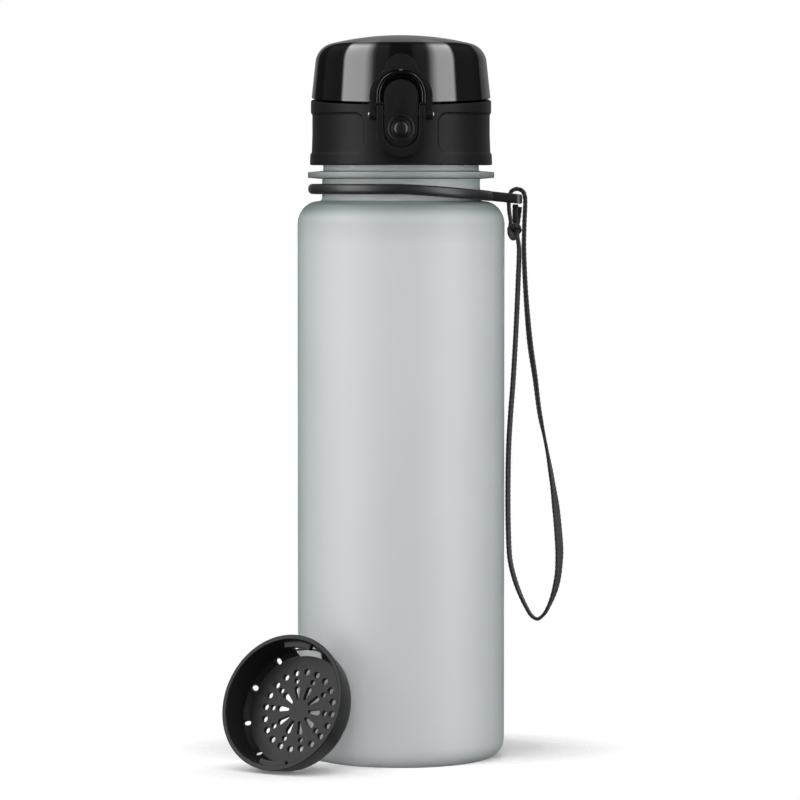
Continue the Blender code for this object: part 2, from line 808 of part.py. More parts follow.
def make_latch(material):
    low_centre = latch_low + latch_half_width
    high_centre = latch_high - latch_half_width
    count = 2 * corner_points + 2
    outline = arc((0, high_centre), latch_half_width, 0, math.pi, count)
    outline += arc((0, low_centre), latch_half_width, math.pi, math.tau, count)
    latch = carried("latch", outline, along_y, latch_front, latch_back, material)

    hub_low = latch_pin_z - latch_hub_radius
    hub_high = latch_pin_z + latch_hub_radius
    hub = arc((latch_pin_y, latch_pin_z), latch_hub_radius, -math.pi / 2, math.pi / 2, corner_points)
    hub_root = latch_pin_y - latch_thickness * hub_root_share
    hub += [(hub_root, hub_high), (hub_root, hub_low)]
    join(latch, carried("latch_hub", hub, along_x, -latch_half_width, latch_half_width))
    root = latch_back - latch_thickness / 2
    hook = [(root, hook_bottom), (hook_tip, hook_bottom), (hook_tip, hook_top - hook_chamfer),
            (hook_tip - hook_chamfer, hook_top), (root, hook_top)]
    join(latch, carried("latch_hook", hook, along_x, -hook_half_width, hook_half_width))

    hole_depth = button_seat_depth + button_stem_length + touch_gap
    for name, radius, depth, steps in (
        ("button_well", button_well_radius, button_well_depth, 2 * small_steps),
        ("button_seat", button_seat_radius, button_seat_depth, 2 * small_steps),
        ("button_stem_hole", button_stem_radius + touch_gap, hole_depth, tiny_steps),
    ):
        circle = arc((0, button_z), radius, 0, math.tau, steps)[:-1]
        cut(latch, carried(name, circle, along_y, latch_front - cut_overrun, latch_front + depth))
    pocket = arc((0, latch_spring_z), latch_spring_pocket_radius, 0, math.tau, small_steps)[:-1]
    pocket_start = latch_back - latch_spring_pocket_depth
    cut(latch, carried("latch_spring_pocket", pocket, along_y, pocket_start, latch_back + cut_overrun))
    cut(latch, rod_along_x("latch_bore", latch_pin_y, latch_pin_z, latch_hole_radius,
                           -latch_half_width - cut_overrun, latch_half_width + cut_overrun))
    return latch


def make_button_dome(material):
    """A domed stud, turned about Z and then laid to face the front."""
    outline = [
        (0, -button_stem_length),
        (button_stem_radius, -button_stem_length),
        (button_stem_radius, 0),
        (button_radius, 0),
        (button_radius, button_edge),
    ]
    swell = (button_radius, button_height - button_edge)
    outline += arc((0, button_edge), swell, 0, math.pi / 2, corner_points)[1:-1]
    outline.append((0, button_height))
    dome = turned("button_dome", outline, 2 * tiny_steps, material)
    seat = latch_front + button_seat_depth - touch_gap
    dome.data.transform(Matrix.Translation((0, seat, button_z)) @ Matrix.Rotation(math.pi / 2, 4, "X"))
    return dome


def make_lock_ring(material):
    count = 2 * corner_points + 4
    outer = arc((0, arch_centre), ring_outer_half_width, 0, math.pi, count)
    outer += [(-ring_outer_half_width, latch_pin_z), (ring_outer_half_width, latch_pin_z)]
    near = latch_pin_y - ring_half_thickness
    far = latch_pin_y + ring_half_thickness
    ring = carried("lock_ring", outer, along_y, near, far, material)
    tab_centre = arch_centre + ring_tab_offset
    tab = arc((0, tab_centre), ring_tab_radius, 0, math.tau, 2 * small_steps)[:-1]
    join(ring, carried("thumb_tab", tab, along_y, near, far))
    for name, side in (("left_eye", -1), ("right_eye", 1)):
        inner, outer_side = sorted((side * ring_inner_half_width, side * ring_outer_half_width))
        join(ring, rod_along_x(name, latch_pin_y, latch_pin_z, ring_eye_radius, inner, outer_side, 2 * tiny_steps))
    opening = arc((0, arch_centre), ring_inner_half_width, 0, math.pi, count)
    low = latch_pin_z - cut_overrun
    opening += [(-ring_inner_half_width, low), (ring_inner_half_width, low)]
    cut(ring, carried("ring_opening", opening, along_y, near - cut_overrun, far + cut_overrun))
    cut(ring, rod_along_x("ring_bore", latch_pin_y, latch_pin_z, latch_hole_radius,
                          -latch_pin_half_length - cut_overrun, latch_pin_half_length + cut_overrun))
    return ring


def make_coil(name, radius, wire, turns, low, high, place, material):
    """A close-wound spring as one tube along a helix; place puts its axis."""
    curve = bpy.data.curves.new(name, "CURVE")
    curve.dimensions = "3D"
    curve.bevel_depth = wire
    curve.bevel_resolution = 1
    curve.use_fill_caps = True
    count = turns * tiny_steps
    spline = curve.splines.new("POLY")
    spline.points.add(count)
    for i, point in enumerate(spline.points):
        angle = math.tau * turns * i / count
        along = low + (high - low) * i / count
        point.co = (*place(radius * math.cos(angle), radius * math.sin(angle), along), 1)
    pitch_gap = (high - low) / turns - 2 * wire
    print(name, "least gap between turns, mm:", round(pitch_gap * 1000, 2))
    return add_object(name, curve, material)


def band_height(x):
    """Height of the band's middle: level on the left, sagging towards the tab."""
    return band_centre_height - band_sag * max(x, 0) / tab_end


def make_carry_band(material):
    half_width = band_section_width / 2
    half_height = band_section_height / 2
    middle = band_inner_radius + half_width
    quarter = math.pi / 2
    section = []
    for side, up, start in ((1, 1, 0), (-1, 1, 1), (-1, -1, 2), (1, -1, 3)):
        corner = (middle + side * (half_width - band_corner), up * (half_height - band_corner))
        section += arc(corner, band_corner, start * quarter, (start + 1) * quarter, 2)
    shape = bmesh.new()
    rings = []
    for i in range(band_steps):
        angle = math.tau * i / band_steps
        across, along = math.cos(angle), math.sin(angle)
        rings.append([
            shape.verts.new((radius * across, radius * along, band_height(radius * across) + height))
            for radius, height in section
        ])
    for i in range(band_steps):
        one, two = rings[i - 1], rings[i]
        for j in range(len(section)):
            shape.faces.new((one[j - 1], one[j], two[j], two[j - 1]))
    band = finish_mesh("carry_band", shape, material)

    half = tab_thickness / 2
    top = band_height(tab_end) + half
    low = band_height(tab_end) - half
    tab = [
        (tab_start, band_height(tab_start) - half),
        (tab_end - tab_chamfer, low),
        (tab_end, low + tab_chamfer),
        (tab_end, top - tab_chamfer),
        (tab_end - tab_chamfer, top),
        (tab_start, band_height(tab_start) + half),
    ]
    join(band, carried("band_tab", tab, along_y, -tab_half_width, tab_half_width))
    bar_inner = tab_end - eyelet_bar
    eyelet_start = bar_inner - eyelet_length
    above = band_height(bar_inner) + half
    below = band_height(bar_inner) - half
    eyelet = [
        (eyelet_start, below - cut_overrun),
        (bar_inner + tab_chamfer + cut_overrun, below - cut_overrun),
        (bar_inner + tab_chamfer, below),
        (bar_inner, below + tab_chamfer),
        (bar_inner, above - tab_chamfer),
        (bar_inner + tab_chamfer, above),
        (bar_inner + tab_chamfer + cut_overrun, above + cut_overrun),
        (eyelet_start, above + cut_overrun),
    ]
    cut(band, carried("eyelet", eyelet, along_y, -eyelet_half_width, eyelet_half_width))
    return band


def lace_at(place):
    """A drawn place of the lace, moved to where the eyelet's bar is."""
    return Vector(place) + Vector((bar_x, 0, bar_z)) - Vector(lace_drawn_bar)


def smooth_route(points):
    """Points on a smooth curve through the route, one for each lace_span or so."""
    path = [lace_at(p) for p in points]
    padded = [2 * path[0] - path[1]] + path + [2 * path[-1] - path[-2]]
    found = [path[0]]
    for before, start, end, after in zip(padded, padded[1:], padded[2:], padded[3:]):
        count = max(1, round((end - start).length / lace_span))
        for i in range(1, count + 1):
            t = i / count
            found.append(0.5 * (
                2 * start + (end - before) * t
                + (2 * before - 5 * start + 4 * end - after) * t ** 2
                + (3 * start - before - 3 * end + after) * t ** 3
            ))
    return found


def make_wrist_strap(material):
    curve = bpy.data.curves.new("wrist_strap", "CURVE")
    curve.dimensions = "3D"
    curve.bevel_depth = lace_tube_radius
    curve.bevel_resolution = 2
    curve.use_fill_caps = True
    path = smooth_route(lace_route)
    spline = curve.splines.new("POLY")
    spline.points.add(len(path) - 1)
    for point, place in zip(spline.points, path):
        point.co = (*place, 1)
    return add_object("wrist_strap", curve, material)


def make_strap_knot(material):
    """The wrapped knot as a lobed body, with the lace's two cut ends standing out of it."""
    count = 4 * knot_lobes
    outline = [(0, -1)]
    for i in range(1, count):
        angle = math.pi * i / count
        swell = 1 - knot_lobe_share * math.cos(angle * 2 * knot_lobes) ** 2
        outline.append((math.sin(angle) ** knot_fullness * swell, -math.cos(angle)))
    outline.append((0, 1))
    knot = turned("strap_knot", outline, small_steps, material)
    size = Matrix.Diagonal((knot_half_width, knot_half_depth, knot_half_height, 1))
    knot.data.transform(Matrix.Translation(lace_at(knot_centre)) @ size)
    for number, (root, tip) in enumerate(lace_ends):
        root, tip = lace_at(root), lace_at(tip)
        name = "lace_end_" + "ab"[number]
        circle = arc((0, 0), lace_end_radius, 0, math.tau, tiny_steps)[:-1]
        end = carried(name, circle, along_z, 0, (tip - root).length)
        turn = (tip - root).to_track_quat("Z", "Y").to_matrix().to_4x4()
        end.data.transform(Matrix.Translation(root) @ turn)
        join(knot, end)
    return knot


def strainer_frame():
    """The cup's turn: its mouth faces out over the front left, tilted back."""
    mouth = Vector((
        math.sin(strainer_bearing) * math.cos(strainer_tilt),
        -math.cos(strainer_bearing) * math.cos(strainer_tilt),
        math.sin(strainer_tilt),
    ))
    level = Vector((0, 0, 1)).cross(mouth).normalized()
    return level, mouth.cross(level), mouth


def strainer_outer():
    return [
        (strainer_end_radius, 0),
        (strainer_heel_radius - strainer_knuckle_step, strainer_heel_height - strainer_knuckle_rise),
        (strainer_heel_radius, strainer_heel_height),
        (strainer_radius, strainer_height - strainer_rim_round),
    ]


def strainer_place():
    """Where the cup's closed end lies: on the floor, and leant on the bottle's side."""
    level, up, mouth = strainer_frame()
    side = strainer_side_share * bottle_radius
    height = max(radius * up.z - rise * mouth.z for radius, rise in strainer_outer())
    around = [math.tau * i / (4 * strainer_steps) for i in range(4 * strainer_steps)]

    def gap(y):
        centre = Vector((side, y, height))
        nearest = math.inf
        for radius, rise in strainer_outer():
            for angle in around:
                point = centre + mouth * rise + (level * math.cos(angle) + up * math.sin(angle)) * radius
                nearest = min(nearest, math.hypot(point.x, point.y) - bottle_radius)
        return nearest

    far, near = -bottle_radius - 2 * strainer_radius, 0.0
    while near - far > merge_distance:
        middle = (far + near) / 2
        if gap(middle) > touch_gap:
            far = middle
        else:
            near = middle
    return Vector((side, far, height))


def make_strainer_holes():
    """All holes, drops and slots of the pattern in one cutter."""
    low = -cut_overrun
    high = strainer_foot_height + slot_headroom
    shape = bmesh.new()

    def punch(outline):
        near = [shape.verts.new((x, y, low)) for x, y in outline]
        far = [shape.verts.new((x, y, high)) for x, y in outline]
        shape.faces.new(reversed(near))
        shape.faces.new(far)
        for i in range(len(outline)):
            shape.faces.new((near[i - 1], near[i], far[i], far[i - 1]))

    def round_holes(count, radius, circle, turn, skipped=()):
        for i in range(count):
            if i in skipped:
                continue
            angle = turn + math.tau * i / count
            centre = (circle * math.cos(angle), circle * math.sin(angle))
            punch(arc(centre, radius, angle, angle + math.tau, tiny_steps)[:-1])

    slots = (0, edge_place_count // 2)
    round_holes(ring_hole_count, ring_hole_radius, ring_hole_circle, pattern_turn)
    round_holes(inner_hole_count, inner_hole_radius, inner_hole_circle, pattern_turn)
    round_holes(edge_place_count, edge_hole_radius, edge_hole_circle, slot_turn, slots)
    for i in range(inner_hole_count):
        angle = pattern_turn + math.tau * i / inner_hole_count
        quarter = math.pi / 2
        drop = arc((drop_outer_circle, 0), drop_outer_radius, -quarter, quarter, corner_points)
        drop += arc((drop_inner_circle, 0), drop_inner_radius, quarter, 3 * quarter, 2)
        turn = Matrix.Rotation(angle, 2)
        punch([turn @ Vector(point) for point in drop])
    for side in (0, math.pi):
        start = slot_turn + side - slot_angle / 2
        end = start + slot_angle
        slot = arc((0, 0), edge_hole_circle + slot_half_width, start, end, corner_points)
        slot += arc((0, 0), edge_hole_circle - slot_half_width, end, start, corner_points)
        punch(slot)
    return finish_mesh("strainer_holes", shape)


def make_strainer(material):
    outline = [(0, 0)] + strainer_outer() + [
        (strainer_radius - strainer_rim_round, strainer_height),
        (strainer_mouth_radius, strainer_height),
        (strainer_foot_radius, strainer_foot_height),
        (strainer_disc_radius, strainer_floor),
        (0, strainer_floor),
    ]
    strainer = turned("strainer", outline, strainer_steps, material)
    cut(strainer, make_strainer_holes())
    for name, side in (("upper_lug", 0), ("lower_lug", math.pi)):
        outer = strainer_mouth_radius + lug_root
        lug_high = lug_low + lug_height
        join(strainer, sector(name, lug_radius, outer, lug_low, lug_high, slot_turn + side, lug_angle))
    return strainer


def place_strainer(strainer):
    """Stand the cup by the bottle; its cutters and lugs are carried with it."""
    level, up, mouth = strainer_frame()
    place = Matrix((level, up, mouth)).transposed().to_4x4()
    place.translation = strainer_place()
    strainer.matrix_world = place
    for modifier in strainer.modifiers:
        modifier.object.matrix_world = place


def build():
    clear_scene()
    frosted = make_material("frosted_bottle", (0.58, 0.62, 0.63), 0.45, alpha=0.6)
    gloss = make_material("gloss_black_lid", (0.010, 0.010, 0.011), 0.12)
    satin = make_material("satin_black_collar", (0.030, 0.030, 0.031), 0.48)
    matte = make_material("matte_black_latch", (0.024, 0.024, 0.025), 0.60)
    liner = make_material("dark_grey_inner", (0.050, 0.050, 0.052), 0.42)
    silicone = make_material("black_silicone", (0.020, 0.020, 0.021), 0.70)
    seal = make_material("grey_silicone", (0.30, 0.31, 0.31), 0.62)
    lace = make_material("black_lace", (0.018, 0.018, 0.019), 0.85)
    steel = make_material("steel", (0.55, 0.55, 0.56), 0.28, metallic=1.0)
    mesh_black = make_material("satin_black_strainer", (0.028, 0.029, 0.030), 0.35)

    make_bottle(frosted)
    make_carry_band(silicone)
    strap_pivot = pivot_at("strap_pivot", (bar_x, 0, bar_z))
    hang_on(strap_pivot, make_wrist_strap(lace), make_strap_knot(lace))

    make_neck_seal(seal)
    make_inner_cap(liner)
    make_collar(satin)
    rod_along_x("latch_pin", latch_pin_y, latch_pin_z, latch_pin_radius,
                -latch_pin_half_length, latch_pin_half_length, small_steps, steel)
    rod_along_x("lid_hinge_pin", hinge_y, hinge_z, hinge_pin_radius,
                -hinge_pin_half_length, hinge_pin_half_length, small_steps, steel)
    spring_end = spring_slot_half_width - hinge_spring_margin - hinge_spring_wire
    make_coil("lid_spring", hinge_spring_radius, hinge_spring_wire, hinge_spring_turns,
              -spring_end, spring_end, lambda u, v, w: (w, hinge_y + u, hinge_z + v), steel)
    latch_spring_start = latch_back - latch_spring_pocket_depth + latch_spring_wire + touch_gap
    latch_spring_end = -skirt_outer_radius - touch_gap - latch_spring_wire
    make_coil("latch_spring", latch_spring_radius, latch_spring_wire, latch_spring_turns,
              latch_spring_start, latch_spring_end, lambda u, v, w: (u, w, latch_spring_z + v), steel)

    hinge_pivot = pivot_at("lid_pivot", (0, hinge_y, hinge_z))
    hang_on(hinge_pivot, make_lid_cover(gloss), make_lid_liner(liner), make_spout_seal(seal))
    latch_pivot = pivot_at("latch_pivot", (0, latch_pin_y, latch_pin_z))
    hang_on(latch_pivot, make_latch(matte), make_button_dome(gloss), make_lock_ring(matte))
    place_strainer(make_strainer(mesh_black))


build()
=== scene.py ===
"""Looks for the infuser water bottle: fine meshes, finishes, light and camera.

Metres, +Z up, in the frame of the CAD model. The front, with the latch, faces -Y.
"""

import math

import bmesh
import bpy
from mathutils import Matrix, Vector


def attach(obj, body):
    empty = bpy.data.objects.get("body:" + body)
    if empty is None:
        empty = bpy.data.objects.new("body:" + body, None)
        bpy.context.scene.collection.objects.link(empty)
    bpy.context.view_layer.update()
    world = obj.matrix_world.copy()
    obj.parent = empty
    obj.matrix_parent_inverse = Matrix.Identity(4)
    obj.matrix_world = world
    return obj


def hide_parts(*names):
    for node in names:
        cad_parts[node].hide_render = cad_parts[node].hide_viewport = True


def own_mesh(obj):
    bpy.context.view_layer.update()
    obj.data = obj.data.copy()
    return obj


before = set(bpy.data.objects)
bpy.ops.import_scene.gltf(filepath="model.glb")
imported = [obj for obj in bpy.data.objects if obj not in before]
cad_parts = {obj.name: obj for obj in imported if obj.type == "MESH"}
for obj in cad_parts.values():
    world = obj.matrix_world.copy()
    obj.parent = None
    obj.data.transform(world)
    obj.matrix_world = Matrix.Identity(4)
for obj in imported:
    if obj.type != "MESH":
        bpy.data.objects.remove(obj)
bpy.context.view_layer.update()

# General values
quarter = math.pi / 2
joining_distance = 1e-7
sharp_angle = math.radians(32)
swept_sharp_angle = math.radians(60)
ring_steps = 192
collar_steps = 480
hole_steps = 20
rod_steps = 32
notch_steps = 48
fit_gap = 0.0003
overrun = 0.0020
tiny_round = 0.0002
small_round = 0.0003
part_round = 0.0004

# Bottle
bottle_radius = 0.0330
bottle_wall = 0.0017
base_thickness = 0.0030
base_round = 0.0064
base_recess = 0.0009
base_recess_edge = 0.0007
base_recess_radius = 0.017
base_step = 0.0001
base_step_radius = 0.0225
base_flat_radius = 0.0240
body_height = 0.1706
shoulder_top = 0.17805
neck_radius = 0.0252
neck_fillet = 0.00035
neck_root_round = 0.0010
flange_bottom = 0.18535
flange_top = 0.18735
flange_radius = 0.0297
flange_round = 0.0004
flange_taper = 0.0003
thread_neck_radius = 0.0248
neck_bore_radius = 0.0229
neck_top = 0.20305
lip_round = 0.0004
thread_lead = 0.0120
thread_starts = 3
thread_depth = 0.0008
thread_half_height = 0.0006
thread_crest_share = 0.45
thread_sink = 0.0001
thread_steps = 48
thread_fade_rate = 8
thread_end_share = 0.02
thread_span = math.radians(165)
neck_thread_low = 0.1925
skirt_thread_low = 0.1945

# Neck seal
seal_bottom = 0.20335
seal_top = 0.20485
seal_outer_radius = 0.0258
seal_inner_radius = 0.0226

# Inner cap
skirt_inner_radius = 0.0261
skirt_outer_radius = 0.0271
skirt_bottom = 0.19025
deck_bottom = 0.20515
deck_top = 0.20665
spout_radius = 0.0126
spout_bore_radius = 0.0108
spout_top = 0.21815
spout_root_round = 0.0006
spout_lip_round = 0.0007
bayonet_radius = 0.0181
bayonet_inner_radius = 0.0165
bayonet_bottom = 0.19815
bayonet_tab_reach = 0.0010
bayonet_tab_height = 0.0014
bayonet_tab_root = 0.0002
bayonet_tab_angle = math.radians(26)

# Collar
collar_inner_radius = 0.0274
collar_radius = 0.0287
collar_flare = 0.00035
collar_bottom = 0.18945
collar_waist_height = 0.0096
collar_rim_inner = 0.0269
collar_foot_round = 0.0005
collar_waist_round = 0.02
collar_rim_round = 0.0006
collar_longest_edge = 0.0004
ledge_bottom = 0.20695
ledge_top = 0.20795
ledge_inner_radius = 0.0250
parting_height = 0.21015
parting_slope = math.tan(math.radians(3.8))
rim_depth = 0.0008
grip_depth = 0.00045
grip_edge = 0.0006
grip_skin = 0.0002
grip_start_angle = math.radians(24)
grip_end_angle = math.radians(152)
grip_low = 0.19315
grip_high = 0.20575
grip_round = 0.0032

# Lid
lid_radius = 0.02845
lid_wall = 0.0017
lid_draft = math.radians(6)
lid_bottom = 0.21075
lid_top = 0.23075
lid_dome_radius = 0.0940
lid_edge_round = 0.0067
liner_bottom = 0.21965
liner_top = 0.22105
liner_radius = 0.02545
holder_inner_radius = 0.0137
holder_outer_radius = 0.0149
holder_bottom = 0.21725
plug_bottom = 0.21665
plug_flange_bottom = 0.21845
plug_top = 0.21935
plug_radius = 0.0100
plug_nose_inset = 0.0008
plug_nose_rise = 0.0009
plug_flange_radius = 0.0134

# Front latch
pin_y = -0.0295
pin_z = 0.20515
pin_radius = 0.00075
pin_half_length = 0.0102
pin_play = 0.0002
pin_end_round = 0.00015
latch_half_width = 0.00525
latch_front = -0.0311
latch_back = -0.0287
latch_low = 0.19535
latch_high = 0.21605
hub_radius = 0.0016
hub_reach = 0.0008
latch_root_depth = 0.0012
latch_soft_edge = 0.00022
boss_half_width = 0.0076
boss_drop = 0.0011
boss_front = -0.0317
boss_back = -0.0268
pocket_half_width = 0.0056
pocket_drop = 0.0005
pocket_back = -0.0265
arch_front = -0.0314
arch_back = -0.0266
arch_rim = 0.00105
arch_centre = 0.2112
arch_floor = -0.02815
arch_soft_edge = 0.0005
hook_half_width = 0.0029
hook_low = 0.21365
hook_high = 0.21545
hook_tip = -0.0272
hook_chamfer = 0.0008
window_headroom = 0.0008
window_front = -0.0300
window_back = -0.0245
button_z = 0.20075
button_radius = 0.0024
button_dome_radius = 0.0022
button_seat_radius = 0.0028
button_bead = 0.00016
button_seat_depth = 0.0007
button_well_radius = 0.0040
button_well_depth = 0.00035
button_height = 0.0009
button_stem_radius = 0.0008
button_stem_length = 0.0008
button_step = 0.0002
button_step_round = 0.0001
latch_spring_z = 0.19795
latch_spring_radius = 0.00095
latch_spring_wire = 0.0002
latch_spring_start = -0.0294
latch_spring_end = -0.0276
latch_spring_turns = 2
latch_spring_pocket_radius = 0.0015
detent_radius = 0.0006
detent_y = -0.0305

# Lock ring
ring_inner_half_width = 0.0079
ring_outer_half_width = 0.00985
ring_half_thickness = 0.0012
ring_eye_radius = 0.0016
ring_tab_radius = 0.0048
ring_tab_centre = 0.2193
ring_tab_blend = 0.0005
ring_bow_drop = 0.0007

# Back hinge
hinge_y = 0.0290
hinge_z = 0.21225
knuckle_radius = 0.0026
notch_radius = 0.0029
hinge_pin_radius = 0.0010
hinge_hole_radius = 0.00125
knuckle_half_width = 0.0067
ear_inner = 0.0070
ear_outer = 0.0106
hinge_pin_half_length = 0.0109
spring_slot_half_width = 0.0039
hinge_spring_radius = 0.00175
hinge_spring_wire = 0.0003
hinge_spring_turns = 6
hinge_spring_end = 0.0032
root_thickness = 0.0018
root_length = 0.0060
root_inset = 0.0023
knuckle_short_angle = math.radians(25)
knuckle_long_angle = math.radians(175)

# Carry band
band_inner_radius = 0.0255
band_width = 0.0041
band_height = 0.0033
band_corner = 0.0014
band_centre_height = 0.1819
band_sag = 0.0033
band_sag_power = 1.3
tab_end = 0.0386
tab_start = 0.0262
tab_half_width = 0.0040
tab_thickness = 0.0031
tab_corner = 0.0024
tab_end_round = 0.0007
tab_soft_edge = 0.0005
eyelet_flare = 0.0006
band_steps = 160
eyelet_bar = 0.0023
eyelet_length = 0.0026
eyelet_half_width = 0.0022

# Wrist strap: one flat lace
lace_width = 0.0030
lace_thickness = 0.0011
lace_step = 0.00022
lace_pitch = 0.0015
lace_relief = 0.00017
lace_columns = 4
lace_sides = 22
lace_squareness = 0.55
lace_seam_share = 0.35
lace_inner_share = 0.999
lace_route = (
    (0.03725, 0.0, 0.1660),
    (0.03765, 0.0, 0.1620),
    (0.03735, -0.0003, 0.1523),
    (0.03670, -0.0005, 0.1370),
    (0.03580, -0.0008, 0.1209),
    (0.03500, -0.0010, 0.1103),
    (0.03440, -0.0010, 0.0998),
    (0.03420, -0.0010, 0.0892),
    (0.03420, -0.0010, 0.0786),
    (0.03450, -0.0008, 0.0680),
    (0.03500, -0.0006, 0.0627),
    (0.03630, -0.0004, 0.0574),
    (0.03820, -0.0002, 0.0521),
    (0.04060, 0.0, 0.0472),
    (0.04200, 0.0, 0.0452),
    (0.04370, 0.0, 0.0443),
    (0.04540, 0.0, 0.0454),
    (0.04680, 0.0, 0.0474),
    (0.04880, 0.0, 0.0521),
    (0.05010, 0.0, 0.0574),
    (0.05060, 0.0, 0.0627),
    (0.05060, 0.0, 0.0680),
    (0.04970, 0.0, 0.0786),
    (0.04825, 0.0, 0.0892),
    (0.04640, 0.0, 0.0998),
    (0.04430, 0.0, 0.1103),
    (0.04280, 0.0, 0.1218),
    (0.04130, 0.0, 0.1319),
    (0.04030, 0.0, 0.1421),
    (0.03960, 0.0, 0.1523),
    (0.03920, 0.0, 0.1625),
    (0.03930, 0.0, 0.1700),
    (0.03950, 0.0, 0.1750),
    (0.03955, 0.0, 0.1789),
    (0.03882, 0.0, 0.1811),
    (0.03695, 0.0, 0.1819),
    (0.03515, 0.0, 0.1811),
    (0.03440, 0.0, 0.1789),
    (0.03442, 0.0, 0.1755),
    (0.03495, 0.0, 0.1716),
)
# How far the lace is turned from edge-on towards the front, in degrees, by route point
lace_turns = (
    (0, 14), (2, 22), (5, 24), (8, 24), (11, 20), (13, 10), (15, 0), (17, -14), (19, -42),
    (21, -62), (22, -52), (23, -24), (24, -4), (25, 16), (27, 26), (29, 17), (31, 13), (33, 12), (39, 12),
)

# Strainer cup, in its own frame: closed end down, mouth up
strainer_radius = 0.0220
strainer_wall = 0.0015
strainer_mouth_radius = strainer_radius - strainer_wall
strainer_height = 0.0121
strainer_end_radius = 0.0181
strainer_knuckle_radius = 0.0198
strainer_knuckle_height = 0.0028
strainer_heel_radius = 0.0202
strainer_heel_height = 0.0037
strainer_floor = 0.0018
strainer_recess = 0.00025
strainer_recess_radius = 0.0158
strainer_end_round = 0.0008
strainer_knuckle_round = 0.0010
strainer_heel_round = 0.0006
strainer_foot_round = 0.0006
strainer_steps = 160
strainer_foot_height = 0.0037
strainer_disc_radius = 0.0178
strainer_foot_radius = 0.0192
ring_hole_count = 20
ring_hole_radius = 0.0011
ring_hole_circle = 0.0125
inner_hole_count = 10
inner_hole_radius = 0.00095
inner_hole_circle = 0.0098
edge_hole_radius = 0.00095
edge_hole_circle = 0.01855
edge_place_count = 10
slot_angle = math.radians(30)
slot_half_width = 0.0009
slot_headroom = 0.0004
slot_inset = math.radians(0.5)
slot_sill = 0.0030
slot_top = 0.0084
drop_outer_circle = 0.00716
drop_inner_circle = 0.00406
drop_outer_radius = 0.0010
drop_inner_radius = 0.0005
pattern_turn = math.radians(-1.5)
slot_turn = math.radians(89)
lug_angle = math.radians(30)
lug_low = 0.0085
lug_high = 0.0101
lug_radius = 0.0184
lug_sink = 0.0004
strainer_bearing = math.radians(-32.3)
strainer_tilt = math.radians(20.5)
strainer_place = (-0.03135, -0.02560, 0.01763)

# Camera and lamps
camera_place = (-0.00033, -1.360, 0.186)
camera_pitch = math.radians(3.0076)
camera_lens = 191.8
camera_sensor = 36.0
camera_clip_start = 0.05
camera_clip_end = 30.0
studio_centre = (0, 0, 0.14)
# Each lamp: name, bearing in degrees, distance, height, width, length and brightness
softboxes = (
    ("front_softbox", -12, 1.1, 0.62, 0.70, 1.30, 2.2),
    ("right_softbox", 46, 1.1, 0.62, 0.68, 1.30, 2.3),
    ("side_softbox", -84, 1.2, 0.62, 0.80, 1.30, 2.5),
    ("overhead_softbox", 20, 0.25, 1.50, 1.20, 1.20, 2.8),
)
floor_size = 4
# Painted shadow: the floor's grey, shown only in ovals round the object
floor_shadow_grey = (0.64, 0.64, 0.64, 1)
# Painted shadow: where the grey floor shows, darker than the white world, over the shadows it catches; centre
# of an oval, squeeze along Y, and the distances of its fade
bottle_shadow_patch = ((0, 0.020), 1.65, 0.044, 0.074)
strainer_shadow_patch = ((-0.033, -0.034), 1.3, 0.010, 0.034)
fill_level = 0.45
behind_level = 0.3
# Fades in what gloss mirrors: start, end, and the value at each
panels_above = (0.50, 0.74, 1.0, 0.06)
panels_below = (-0.22, -0.08, 0.06, 1.0)
back_rise = (0.68, 0.92, 0.0, 1.0)
back_spread = (0.42, 0.60, 0.40, 0.08)
behind_fade = (0.86, 0.97, 0.0, 1.0)
panel_level = 5.6
# What gloss mirrors by how far its slope faces sideways, as a share of a quarter turn: (share, level)
panel_stops = (
    (-1.0, 0.26), (-0.84, 0.26), (-0.81, 0.03), (-0.69, 0.03), (-0.66, 0.10), (-0.465, 0.10),
    (-0.445, 5.6), (-0.275, 5.6), (-0.205, 0.5), (-0.185, 0.22), (-0.105, 0.20), (-0.075, 0.02),
    (0.075, 0.02), (0.105, 0.20), (0.185, 0.22), (0.205, 0.5), (0.275, 5.6), (0.405, 5.6),
    (0.425, 0.12), (0.58, 0.10), (0.66, 0.06), (0.70, 0.03), (0.73, 0.30), (1.0, 0.55),
)


# Mesh making

def add_piece(name, shape, sharp=sharp_angle):
    """Turn a bmesh into a smooth-shaded object with its faces outwards."""
    bmesh.ops.recalc_face_normals(shape, faces=shape.faces)
    mesh = bpy.data.meshes.new(name)
    shape.to_mesh(mesh)
    shape.free()
    return show_mesh(name, mesh, sharp)


def show_mesh(name, mesh, sharp=sharp_angle):
    """Put a mesh into the scene, smooth but for its sharp edges."""
    mesh.shade_smooth()
    mesh.set_sharp_from_angle(angle=sharp)
    item = bpy.data.objects.new(name, mesh)
    bpy.context.scene.collection.objects.link(item)
    return item


def arc(centre, radius, start, end, count):
    """Points on an arc, or on an elliptical one where radius is a pair."""
    across, up = radius if isinstance(radius, tuple) else (radius, radius)
    angles = [start + (end - start) * i / count for i in range(count + 1)]
    return [(centre[0] + across * math.cos(a), centre[1] + up * math.sin(a)) for a in angles]


def rounded(corners, count=5):
    """An outline whose corners, given as (x, y, round), are filleted."""
    found = []
    for i, (x, y, radius) in enumerate(corners):
        corner = Vector((x, y))
        if radius <= 0:
            found.append((x, y))
            continue
        back = (Vector(corners[i - 1][:2]) - corner).normalized()
        ahead = (Vector(corners[(i + 1) % len(corners)][:2]) - corner).normalized()
        half = back.angle(ahead) / 2
        reach = radius / math.tan(half)
        centre = corner + (back + ahead).normalized() * (radius / math.sin(half))
        start = corner + back * reach - centre
        end = corner + ahead * reach - centre
        turn = math.pi - 2 * half
        sign = 1 if start.x * end.y > start.y * end.x else -1
        for j in range(count + 1):
            step = Matrix.Rotation(sign * turn * j / count, 2)
            point = centre + step @ start
            found.append((point.x, point.y))
    return found


